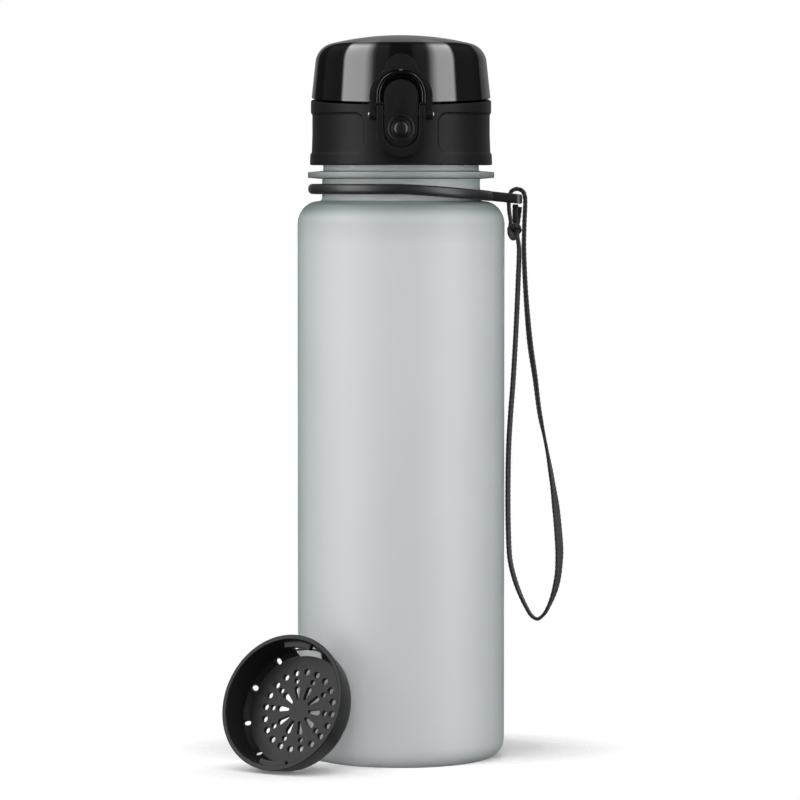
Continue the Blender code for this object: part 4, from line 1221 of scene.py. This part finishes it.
def make_lid_shell():
    centre = lid_edge_centre()
    dome_z = lid_top - lid_dome_radius
    dome_angle = math.atan2(centre[1] - dome_z, centre[0])
    outline = arc((lid_radius - small_round, lid_bottom + small_round), small_round, -quarter, lid_draft, 5)
    outline += arc(centre, lid_edge_round, lid_draft, dome_angle, 28)
    outline += arc((0, dome_z), lid_dome_radius, dome_angle, quarter, 20)[1:-1]
    outline += [(0, lid_top), (0, lid_top - lid_wall)]
    outline += arc((0, dome_z), lid_dome_radius - lid_wall, quarter, dome_angle, 8)[1:-1]
    outline += arc(centre, lid_edge_round - lid_wall, dome_angle, lid_draft, 10)
    outline.append((lid_radius - lid_wall, lid_bottom))
    lid = lathe("lid_shell", outline)
    rim_ceiling = lid_bottom + rim_depth
    lean_rim(lid, lambda co: co.z < rim_ceiling, parting_slope)
    cuts = [make_catch_window()]
    for side in (-1, 1):
        low, high = sorted((side * (knuckle_half_width - fit_gap), side * (ear_outer + fit_gap)))
        cuts.append(bore(hinge_y, hinge_z, notch_radius, low, high, notch_steps))
    cuts.append(bore(hinge_y, hinge_z, notch_radius, -spring_slot_half_width, spring_slot_half_width,
                     notch_steps))
    return shaped(lid, cuts=cuts)


def make_lid_arch():
    """The raised arch on the lid's front, with its rim, its floor and the catch window."""
    outer = arch_outline(boss_half_width, arch_centre, lid_bottom)
    inner = arch_outline(boss_half_width - arch_rim, arch_centre, parting_height - overrun)
    arch = slab("lid_arch", outer, along_y, arch_front, arch_back)
    lean_rim(arch, lambda co: co.z < lid_bottom + rim_depth, parting_slope)
    pocket = slab("pocket", inner, along_y, arch_front - overrun, arch_floor)
    return shaped(arch, cuts=(pocket, make_catch_window()), soft_edge=arch_soft_edge, soft_count=5)


def make_detent():
    """The small bump at the arch's top that the lock ring snaps over."""
    curve = arc((0, 0), detent_radius, -quarter, quarter, 12)[1:-1]
    outline = [(0, -detent_radius), *curve, (0, detent_radius)]
    bump = lathe("arch_detent", outline, rod_steps)
    bump.data.transform(Matrix.Translation((0, detent_y, arch_centre + boss_half_width)))
    return bump


def make_lid_knuckles():
    outline = arc((hinge_y, hinge_z), knuckle_radius, -knuckle_long_angle, knuckle_short_angle, 24)
    root = hinge_y - root_inset
    outline += [(root + root_thickness, hinge_z + root_length), (root, hinge_z + root_length)]
    knuckle = slab("lid_knuckles", outline, along_x, -knuckle_half_width, knuckle_half_width)
    slot = bore(hinge_y, hinge_z, notch_radius, -spring_slot_half_width, spring_slot_half_width, notch_steps)
    hole = bore(hinge_y, hinge_z, hinge_hole_radius, -ear_inner - overrun, ear_inner + overrun)
    return shaped(knuckle, cuts=(slot, hole), soft_edge=small_round)


dress(make_lid_shell(), "lid", gloss, ("lid_cover",))
dress(make_lid_arch(), "lid", gloss)
dress(make_detent(), "lid", gloss)
dress(make_lid_knuckles(), "lid", gloss)

liner = lathe("lid_inner_disc", rounded([
    (0, liner_bottom, 0),
    (holder_inner_radius, liner_bottom, tiny_round),
    (holder_inner_radius, holder_bottom, small_round),
    (holder_outer_radius, holder_bottom, small_round),
    (holder_outer_radius, liner_bottom, part_round),
    (liner_radius, liner_bottom, small_round),
    (liner_radius, liner_top, small_round),
    (0, liner_top, 0),
]))
dress(liner, "lid", inner_grey, ("lid_liner",))
plug = lathe("spout_plug", rounded([
    (0, plug_bottom, 0),
    (plug_radius - plug_nose_inset, plug_bottom, part_round),
    (plug_radius, plug_bottom + plug_nose_rise, part_round),
    (plug_radius, plug_flange_bottom, tiny_round),
    (plug_flange_radius, plug_flange_bottom, small_round),
    (plug_flange_radius, plug_top, tiny_round),
    (0, plug_top, 0),
]))
dress(plug, "lid", seal_grey, ("spout_seal",))


# Latch, button, lock ring, pins and springs

def make_latch_rocker():
    low_centre = latch_low + latch_half_width
    high_centre = latch_high - latch_half_width
    outline = arc((0, high_centre), latch_half_width, 0, math.pi, 40)
    outline += arc((0, low_centre), latch_half_width, math.pi, math.tau, 40)
    rocker = slab("latch_rocker", outline, along_y, latch_front, latch_back)
    hub = arc((pin_y, pin_z), hub_radius, -quarter, quarter, 20)
    hub += [(pin_y - hub_reach, pin_z + hub_radius), (pin_y - hub_reach, pin_z - hub_radius)]
    root = latch_back - latch_root_depth
    hook = [
        (root, hook_low), (hook_tip, hook_low), (hook_tip, hook_high - hook_chamfer),
        (hook_tip - hook_chamfer, hook_high), (root, hook_high),
    ]
    joins = (
        slab("hub", hub, along_x, -latch_half_width, latch_half_width),
        slab("hook", hook, along_x, -hook_half_width, hook_half_width),
    )
    cuts = []
    for radius, depth in ((button_well_radius, button_well_depth), (button_seat_radius, button_seat_depth)):
        circle = arc((0, button_z), radius, 0, math.tau, 64)[:-1]
        cuts.append(slab("well", circle, along_y, latch_front - overrun, latch_front + depth))
    pocket = arc((0, latch_spring_z), latch_spring_pocket_radius, 0, math.tau, rod_steps)[:-1]
    cuts.append(slab("spring_pocket", pocket, along_y, latch_back - latch_root_depth, latch_back + overrun))
    reach = latch_half_width + overrun
    cuts.append(bore(pin_y, pin_z, pin_radius + pin_play, -reach, reach))
    return shaped(rocker, cuts=cuts, joins=joins, soft_edge=latch_soft_edge, soft_count=3)


def make_button():
    outline = rounded([
        (0, -button_stem_length, 0),
        (button_stem_radius, -button_stem_length, 0),
        (button_stem_radius, 0, 0),
        (button_radius, 0, 0),
        (button_radius, button_step, button_step_round),
        (button_dome_radius, button_step, 0),
    ], 4)
    outline += arc((0, button_step), (button_dome_radius, button_height - button_step), 0, quarter, 16)[1:-1]
    outline.append((0, button_height))
    stud = lathe("button_stud", outline, 64)
    seat = latch_front + button_seat_depth - fit_gap
    stud.data.transform(Matrix.Translation((0, seat, button_z)) @ Matrix.Rotation(quarter, 4, "X"))
    return stud


def make_button_beads():
    """Thin raised beads round the two steps of the button's well."""
    beads = []
    for radius, depth in ((button_well_radius, 0.0), (button_seat_radius, button_well_depth)):
        section = arc((radius, 0), button_bead, 0, math.tau, 12)[:-1]
        bead = lathe("button_bead", section + section[:1], 64)
        place = Matrix.Translation((0, latch_front + depth, button_z))
        bead.data.transform(place @ Matrix.Rotation(quarter, 4, "X"))
        beads.append(bead)
    return joined("button_beads", beads)


def ring_edge(angle):
    """Distance from the arch's centre to the ring's outside, where the thumb tab blends in."""
    direction = Vector((math.cos(angle), math.sin(angle)))
    tab = Vector((0, ring_tab_centre - arch_centre))
    bow = Vector((0, -ring_bow_drop))
    near, far = 0.0, 2 * ring_outer_half_width
    for _ in range(30):
        middle = (near + far) / 2
        point = direction * middle
        one = (point - bow).length - ring_outer_half_width
        two = (point - tab).length - ring_tab_radius
        share = max(0.0, ring_tab_blend - abs(one - two)) / ring_tab_blend
        gap = min(one, two) - share * share * ring_tab_blend / 4
        if gap < 0:
            near = middle
        else:
            far = middle
    return near


def make_ring():
    count = 96
    outline = []
    for i in range(count + 1):
        angle = math.pi * i / count
        reach = ring_edge(angle) if 0 < i < count else ring_outer_half_width
        outline.append((reach * math.cos(angle), arch_centre + reach * math.sin(angle)))
    outline += [(-ring_outer_half_width, pin_z), (ring_outer_half_width, pin_z)]
    near, far = pin_y - ring_half_thickness, pin_y + ring_half_thickness
    ring = slab("ring_bail", outline, along_y, near, far)
    joins = []
    for side in (-1, 1):
        low, high = sorted((side * ring_inner_half_width, side * ring_outer_half_width))
        joins.append(bore(pin_y, pin_z, ring_eye_radius, low, high))
    opening = arc((0, arch_centre), ring_inner_half_width, 0, math.pi, 64)
    opening += [(-ring_inner_half_width, pin_z - overrun), (ring_inner_half_width, pin_z - overrun)]
    cuts = (
        slab("opening", opening, along_y, near - overrun, far + overrun),
        bore(pin_y, pin_z, pin_radius + pin_play, -pin_half_length - overrun, pin_half_length + overrun),
    )
    return shaped(ring, cuts=cuts, joins=joins, soft_edge=part_round, soft_count=4)


def make_coil(name, radius, wire, turns, low, high, place):
    """A round wire wound along a helix."""
    curve = bpy.data.curves.new(name, "CURVE")
    curve.dimensions = "3D"
    curve.bevel_depth = wire
    curve.bevel_resolution = 4
    curve.use_fill_caps = True
    count = turns * rod_steps
    spline = curve.splines.new("POLY")
    spline.points.add(count)
    for i, point in enumerate(spline.points):
        angle = math.tau * turns * i / count
        along = low + (high - low) * i / count
        point.co = (*place(radius * math.cos(angle), radius * math.sin(angle), along), 1)
    spline.use_smooth = True
    item = bpy.data.objects.new(name, curve)
    bpy.context.scene.collection.objects.link(item)
    return item


dress(make_latch_rocker(), "latch", matte, ("latch",))
dress(make_button(), "latch", matte, ("button_dome",))
dress(make_button_beads(), "latch", matte)
dress(make_ring(), "lock_ring", matte, ("lock_ring",))
dress(
    rod("latch_axle", pin_y, pin_z, pin_radius, -pin_half_length, pin_half_length, pin_end_round),
    "cap", steel, ("latch_pin",),
)
dress(
    rod("hinge_axle", hinge_y, hinge_z, hinge_pin_radius, -hinge_pin_half_length, hinge_pin_half_length,
        tiny_round),
    "cap", steel, ("lid_hinge_pin",),
)
dress(
    make_coil("hinge_coil", hinge_spring_radius, hinge_spring_wire, hinge_spring_turns,
              -hinge_spring_end, hinge_spring_end, lambda u, v, w: (w, hinge_y + u, hinge_z + v)),
    "cap", steel, ("lid_spring",),
)
coil = make_coil("latch_coil_path", latch_spring_radius, latch_spring_wire, latch_spring_turns,
                 latch_spring_start, latch_spring_end, lambda u, v, w: (u, w, latch_spring_z + v))
latch_coil = show_mesh("latch_coil", bpy.data.meshes.new_from_object(coil), swept_sharp_angle)
bpy.data.objects.remove(coil, do_unlink=True)
dress(latch_coil, "cap", steel, ("latch_spring",))
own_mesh(latch_coil)


# Carry band

def band_middle(x):
    """Height of the band's middle: level on the left, sagging towards the tab."""
    return band_centre_height - band_sag * (max(x, 0) / tab_end) ** band_sag_power


def make_band():
    section = rounded([
        (band_inner_radius, -band_height / 2, band_corner),
        (band_inner_radius + band_width, -band_height / 2, band_corner),
        (band_inner_radius + band_width, band_height / 2, band_corner),
        (band_inner_radius, band_height / 2, band_corner),
    ])
    shape = bmesh.new()
    rings = []
    for i in range(band_steps):
        angle = math.tau * i / band_steps
        across, along = math.cos(angle), math.sin(angle)
        rings.append([
            shape.verts.new((radius * across, radius * along, band_middle(radius * across) + height))
            for radius, height in section
        ])
    for i in range(band_steps):
        one, two = rings[i - 1], rings[i]
        for j in range(len(section)):
            shape.faces.new((one[j - 1], one[j], two[j], two[j - 1]))
    band = add_piece("band_ring", shape)

    half = tab_thickness / 2
    top, low = band_middle(tab_end) + half, band_middle(tab_end) - half
    outline = rounded([
        (tab_start, band_middle(tab_start) - half, 0),
        (tab_end, low, tab_end_round),
        (tab_end, top, tab_end_round),
        (tab_start, band_middle(tab_start) + half, 0),
    ])
    tab = slab("tab", outline, along_y, -tab_half_width, tab_half_width)
    tab = shaped(tab, soft_edge=tab_soft_edge, soft_count=3)
    inner = tab_end - eyelet_bar
    middle = band_middle(inner)
    eyelet = rounded([
        (inner - eyelet_length, middle - overrun, 0),
        (inner + eyelet_flare, middle - overrun, 0),
        (inner, middle - half + eyelet_flare, part_round),
        (inner, middle + half - eyelet_flare, part_round),
        (inner + eyelet_flare, middle + overrun, 0),
        (inner - eyelet_length, middle + overrun, 0),
    ])
    hole = slab("eyelet", eyelet, along_y, -eyelet_half_width, eyelet_half_width)
    corners = []
    reach = tab_corner + overrun
    for side in (-1, 1):
        centre = (tab_end - tab_corner, side * (tab_half_width - tab_corner))
        start, end = sorted((0, side * quarter))
        corner = arc(centre, tab_corner, start, end, 12)
        corner.append((centre[0] + reach, centre[1] + side * reach))
        corners.append(slab("tab_corner", corner, along_z, low - overrun, top + 2 * overrun))
    return shaped(band, joins=(tab,), cuts=(hole, *corners))


dress(make_band(), "band", silicone, ("carry_band",))


# Wrist strap and knot

lace, lace_path = sweep_lace("wrist_lace", lace_route, lace_turns)
dress(lace, "strap", lace_cloth, ("wrist_strap",))

hook_route = (
    (0.03495, 0.0000, 0.1716), (0.03490, -0.0003, 0.1702), (0.03462, -0.0008, 0.1690),
    (0.03485, -0.0012, 0.1675), (0.03565, -0.0014, 0.1664), (0.03655, -0.0011, 0.1671),
    (0.03680, -0.0005, 0.1690), (0.03650, -0.0004, 0.1712), (0.03640, -0.0005, 0.1742),
    (0.03645, -0.0005, 0.1770),
)
strand_route = (
    (0.03725, 0.0, 0.1660), (0.03705, 0.0004, 0.1678), (0.03710, 0.0006, 0.1704),
    (0.03740, 0.0006, 0.1733), (0.03770, 0.0005, 0.1762),
)
wrap_route = (
    (0.03475, 0.0010, 0.1692), (0.03600, 0.0016, 0.1681), (0.03720, 0.0010, 0.1681),
    (0.03765, -0.0003, 0.1689), (0.03715, -0.0014, 0.1700), (0.03600, -0.0018, 0.1702),
    (0.03495, -0.0012, 0.1694),
)
# The knot's laces: name, route, turns by route point, width and thickness
knot_laces = (
    ("hook", hook_route, ((0, 20), (5, 60), (9, 62)), 0.0020, 0.0011),
    ("strand", strand_route, ((0, 14), (4, 40)), 0.0022, 0.0011),
    ("wrap", wrap_route, ((0, 80), (6, 80)), 0.0018, 0.0009),
)
knot = joined("lace_knot", [sweep_lace(*settings)[0] for settings in knot_laces], swept_sharp_angle)
dress(knot, "strap", lace_cloth, ("strap_knot",))


# Strainer

def make_hole_cutters():
    """All holes, drops and slots of the pattern in one cutter."""
    shape = bmesh.new()
    low, high = -overrun, strainer_foot_height + slot_headroom

    def punch(outline):
        near = [shape.verts.new((x, y, low)) for x, y in outline]
        far = [shape.verts.new((x, y, high)) for x, y in outline]
        shape.faces.new(reversed(near))
        shape.faces.new(far)
        for i in range(len(outline)):
            shape.faces.new((near[i - 1], near[i], far[i], far[i - 1]))

    def round_holes(count, radius, circle, turn, skipped=()):
        for i in range(count):
            if i in skipped:
                continue
            angle = turn + math.tau * i / count
            centre = (circle * math.cos(angle), circle * math.sin(angle))
            punch(arc(centre, radius, angle, angle + math.tau, hole_steps)[:-1])

    slots = (0, edge_place_count // 2)
    round_holes(ring_hole_count, ring_hole_radius, ring_hole_circle, pattern_turn)
    round_holes(inner_hole_count, inner_hole_radius, inner_hole_circle, pattern_turn)
    round_holes(edge_place_count, edge_hole_radius, edge_hole_circle, slot_turn, slots)
    for i in range(inner_hole_count):
        drop = arc((drop_outer_circle, 0), drop_outer_radius, -quarter, quarter, 12)
        drop += arc((drop_inner_circle, 0), drop_inner_radius, quarter, 3 * quarter, 6)
        turn = Matrix.Rotation(pattern_turn + math.tau * i / inner_hole_count, 2)
        punch([turn @ Vector(point) for point in drop])
    for side in (0, math.pi):
        start = slot_turn + side - slot_angle / 2
        end = start + slot_angle
        inner = arc((0, 0), edge_hole_circle - slot_half_width, end, start, 16)
        punch(arc((0, 0), edge_hole_circle + slot_half_width, start, end, 16) + inner)
    return add_piece("hole_cutters", shape)


def make_strainer_cup():
    outline = rounded([
        (0, strainer_recess, 0),
        (strainer_recess_radius, strainer_recess, small_round),
        (strainer_recess_radius + strainer_recess, 0, tiny_round),
        (strainer_end_radius, 0, strainer_end_round),
        (strainer_knuckle_radius, strainer_knuckle_height, strainer_knuckle_round),
        (strainer_heel_radius, strainer_heel_height, strainer_heel_round),
        (strainer_radius, strainer_height, small_round),
        (strainer_mouth_radius, strainer_height, small_round),
        (strainer_foot_radius, strainer_foot_height, strainer_foot_round),
        (strainer_disc_radius, strainer_floor, strainer_foot_round),
        (0, strainer_floor, 0),
    ])
    lugs = []
    for side in (0, math.pi):
        start = slot_turn + side - lug_angle / 2
        end = start + lug_angle
        block = arc((0, 0), lug_radius, start, end, 14)
        block += arc((0, 0), strainer_mouth_radius + lug_sink, end, start, 14)
        lugs.append(shaped(slab("lug", block, along_z, lug_low, lug_high), soft_edge=small_round))
    start = slot_turn - slot_angle / 2 + slot_inset
    end = start + slot_angle - 2 * slot_inset
    window = arc((0, 0), strainer_radius + overrun, start, end, 16)
    window += arc((0, 0), edge_hole_circle, end, start, 16)
    cuts = (make_hole_cutters(), slab("slot_window", window, along_z, slot_sill, slot_top))
    return shaped(lathe("strainer_cup", outline, strainer_steps), cuts=cuts, joins=lugs)


def stand_strainer(item):
    """Lay the cup's own frame into the scene: its mouth faces the front left, tilted back."""
    mouth = Vector((
        math.sin(strainer_bearing) * math.cos(strainer_tilt),
        -math.cos(strainer_bearing) * math.cos(strainer_tilt),
        math.sin(strainer_tilt),
    ))
    level = Vector((0, 0, 1)).cross(mouth).normalized()
    place = Matrix((level, mouth.cross(level), mouth)).transposed().to_4x4()
    place.translation = strainer_place
    item.data.transform(place)
    return item


cup = stand_strainer(make_strainer_cup())
dress(cup, "strainer", strainer_black, ("strainer",))


# Floor, world, lamps and camera

def shadow_patch(tree, place, centre, squeeze, near, far):
    """Where the floor's painted shadow shows: an oval round a centre, fading out between two distances."""
    shifted = tree.nodes.new("ShaderNodeVectorMath")
    shifted.operation = "SUBTRACT"
    shifted.inputs[1].default_value = (*centre, 0)
    tree.links.new(place, shifted.inputs[0])
    scaled = tree.nodes.new("ShaderNodeVectorMath")
    scaled.operation = "MULTIPLY"
    scaled.inputs[1].default_value = (1, squeeze, 0)
    tree.links.new(shifted.outputs[0], scaled.inputs[0])
    away = tree.nodes.new("ShaderNodeVectorMath")
    away.operation = "LENGTH"
    tree.links.new(scaled.outputs[0], away.inputs[0])
    fade = tree.nodes.new("ShaderNodeMapRange")
    for label, setting in (("From Min", near), ("From Max", far), ("To Min", 1.0), ("To Max", 0.0)):
        fade.inputs[label].default_value = setting
    tree.links.new(away.outputs["Value"], fade.inputs["Value"])
    return fade.outputs["Result"]


def make_floor():
    """A grey floor, painted shadow round the object over the shadows it catches, that fades into the white
    world away from it.
    """
    bpy.ops.mesh.primitive_plane_add(size=floor_size, location=(0, 0, 0))
    floor = bpy.context.object
    floor.name = "studio_floor"
    material = bpy.data.materials.new("shadow_grey_floor")
    tree, shader = shader_of(material)
    # Painted shadow: a grey floor colour, shown in ovals round the bottle and the strainer
    shader.inputs["Base Color"].default_value = floor_shadow_grey
    shader.inputs["Roughness"].default_value = 0.9
    shader.inputs["Specular IOR Level"].default_value = 0.0
    place = object_place(tree)
    patches = [shadow_patch(tree, place, *patch) for patch in (bottle_shadow_patch, strainer_shadow_patch)]
    tree.links.new(maths(tree, "MAXIMUM", *patches), shader.inputs["Alpha"])
    floor.data.materials.append(material)


def eased_range(tree, value, start, end, low, high):
    """A value eased from low, at start, to high, at end."""
    node = tree.nodes.new("ShaderNodeMapRange")
    node.interpolation_type = "SMOOTHSTEP"
    for label, setting in (("From Min", start), ("From Max", end), ("To Min", low), ("To Max", high)):
        node.inputs[label].default_value = setting
    tree.links.new(value, node.inputs["Value"])
    return node.outputs["Result"]


def studio_shine(tree):
    """What gloss mirrors: two tall panels beside the camera, a dim room and a pale back.

    Each direction is read as the slope that would mirror it to the front: how far that
    slope faces sideways and how far up, both as shares of a quarter turn.
    """
    direction = tree.nodes.new("ShaderNodeTexCoord").outputs["Generated"]
    halfway = tree.nodes.new("ShaderNodeVectorMath")
    halfway.operation = "SUBTRACT"
    halfway.inputs[1].default_value = (0, 1, 0)
    tree.links.new(direction, halfway.inputs[0])
    unit = tree.nodes.new("ShaderNodeVectorMath")
    unit.operation = "NORMALIZE"
    tree.links.new(halfway.outputs[0], unit.inputs[0])
    parts = tree.nodes.new("ShaderNodeSeparateXYZ")
    tree.links.new(unit.outputs[0], parts.inputs[0])
    front = maths(tree, "MULTIPLY", parts.outputs["Y"], -1.0)
    aside = maths(tree, "DIVIDE", maths(tree, "ARCTAN2", parts.outputs["X"], front), quarter)
    raised = maths(tree, "DIVIDE", maths(tree, "ARCSINE", parts.outputs["Z"]), quarter)
    across = maths(tree, "MULTIPLY_ADD", aside, 0.5, third=0.5)
    stops = [((place + 1) / 2, (level / panel_level,) * 3) for place, level in panel_stops]
    panels = maths(tree, "MULTIPLY", color_ramp(tree, across, stops), panel_level)
    for fade in (panels_above, panels_below):
        panels = maths(tree, "MULTIPLY", panels, eased_range(tree, raised, *fade))
    around = maths(tree, "ABSOLUTE", aside)
    back = maths(tree, "MULTIPLY", eased_range(tree, raised, *back_rise),
                 eased_range(tree, around, *back_spread))
    behind = tree.nodes.new("ShaderNodeSeparateXYZ")
    tree.links.new(direction, behind.inputs[0])
    level = tree.nodes.new("ShaderNodeMix")
    tree.links.new(eased_range(tree, behind.outputs["Y"], *behind_fade), level.inputs["Factor"])
    tree.links.new(maths(tree, "ADD", panels, back), level.inputs["A"])
    level.inputs["B"].default_value = behind_level
    return level.outputs["Result"]


def make_world():
    """White to the camera and through the bottle, a plain fill, and a studio for gloss."""
    world = bpy.data.worlds.new("studio")
    bpy.context.scene.world = world
    world.use_nodes = True
    tree = world.node_tree
    tree.nodes.clear()
    out = tree.nodes.new("ShaderNodeOutputWorld")
    path = tree.nodes.new("ShaderNodeLightPath")
    seen = maths(tree, "MAXIMUM", path.outputs["Is Camera Ray"], path.outputs["Is Transmission Ray"])
    shine = maths(tree, "MULTIPLY", path.outputs["Is Glossy Ray"], studio_shine(tree))
    fill = maths(tree, "MULTIPLY", path.outputs["Is Diffuse Ray"], fill_level)
    strength = maths(tree, "MAXIMUM", seen, maths(tree, "MAXIMUM", shine, fill))
    background = tree.nodes.new("ShaderNodeBackground")
    background.inputs["Color"].default_value = (1, 1, 1, 1)
    tree.links.new(strength, background.inputs["Strength"])
    tree.links.new(background.outputs[0], out.inputs["Surface"])


def add_softbox(name, bearing, distance, height, width, length, brightness):
    """A rectangular lamp on a bearing from the front, positive to the right."""
    angle = math.radians(bearing)
    lamp = bpy.data.lights.new(name, "AREA")
    lamp.shape = "RECTANGLE"
    lamp.size = width
    lamp.size_y = length
    lamp.energy = brightness * math.pi * width * length
    item = bpy.data.objects.new(name, lamp)
    item.location = (distance * math.sin(angle), -distance * math.cos(angle), height)
    towards = Vector(studio_centre) - item.location
    item.rotation_mode = "QUATERNION"
    item.rotation_quaternion = towards.to_track_quat("-Z", "Y")
    item.visible_glossy = False
    bpy.context.scene.collection.objects.link(item)
    return item


def let_past(lamp, piece):
    """The lamp's light passes the piece, so the piece casts only the other lamps' shadows."""
    passed = bpy.data.collections.new("passed")
    passed.objects.link(piece)
    passed.collection_objects[0].light_linking.link_state = "EXCLUDE"
    lamp.light_linking.blocker_collection = passed


def make_camera():
    camera = bpy.data.cameras.new("camera")
    camera.lens = camera_lens
    camera.sensor_width = camera_sensor
    camera.clip_start = camera_clip_start
    camera.clip_end = camera_clip_end
    item = bpy.data.objects.new("camera", camera)
    item.location = camera_place
    item.rotation_euler = (quarter - camera_pitch, 0, 0)
    bpy.context.scene.collection.objects.link(item)
    bpy.context.scene.camera = item


make_floor()
make_world()
lamps = {name: add_softbox(name, *settings) for name, *settings in softboxes}
let_past(lamps["side_softbox"], cup)
make_camera()
bpy.context.scene.view_settings.view_transform = "Standard"
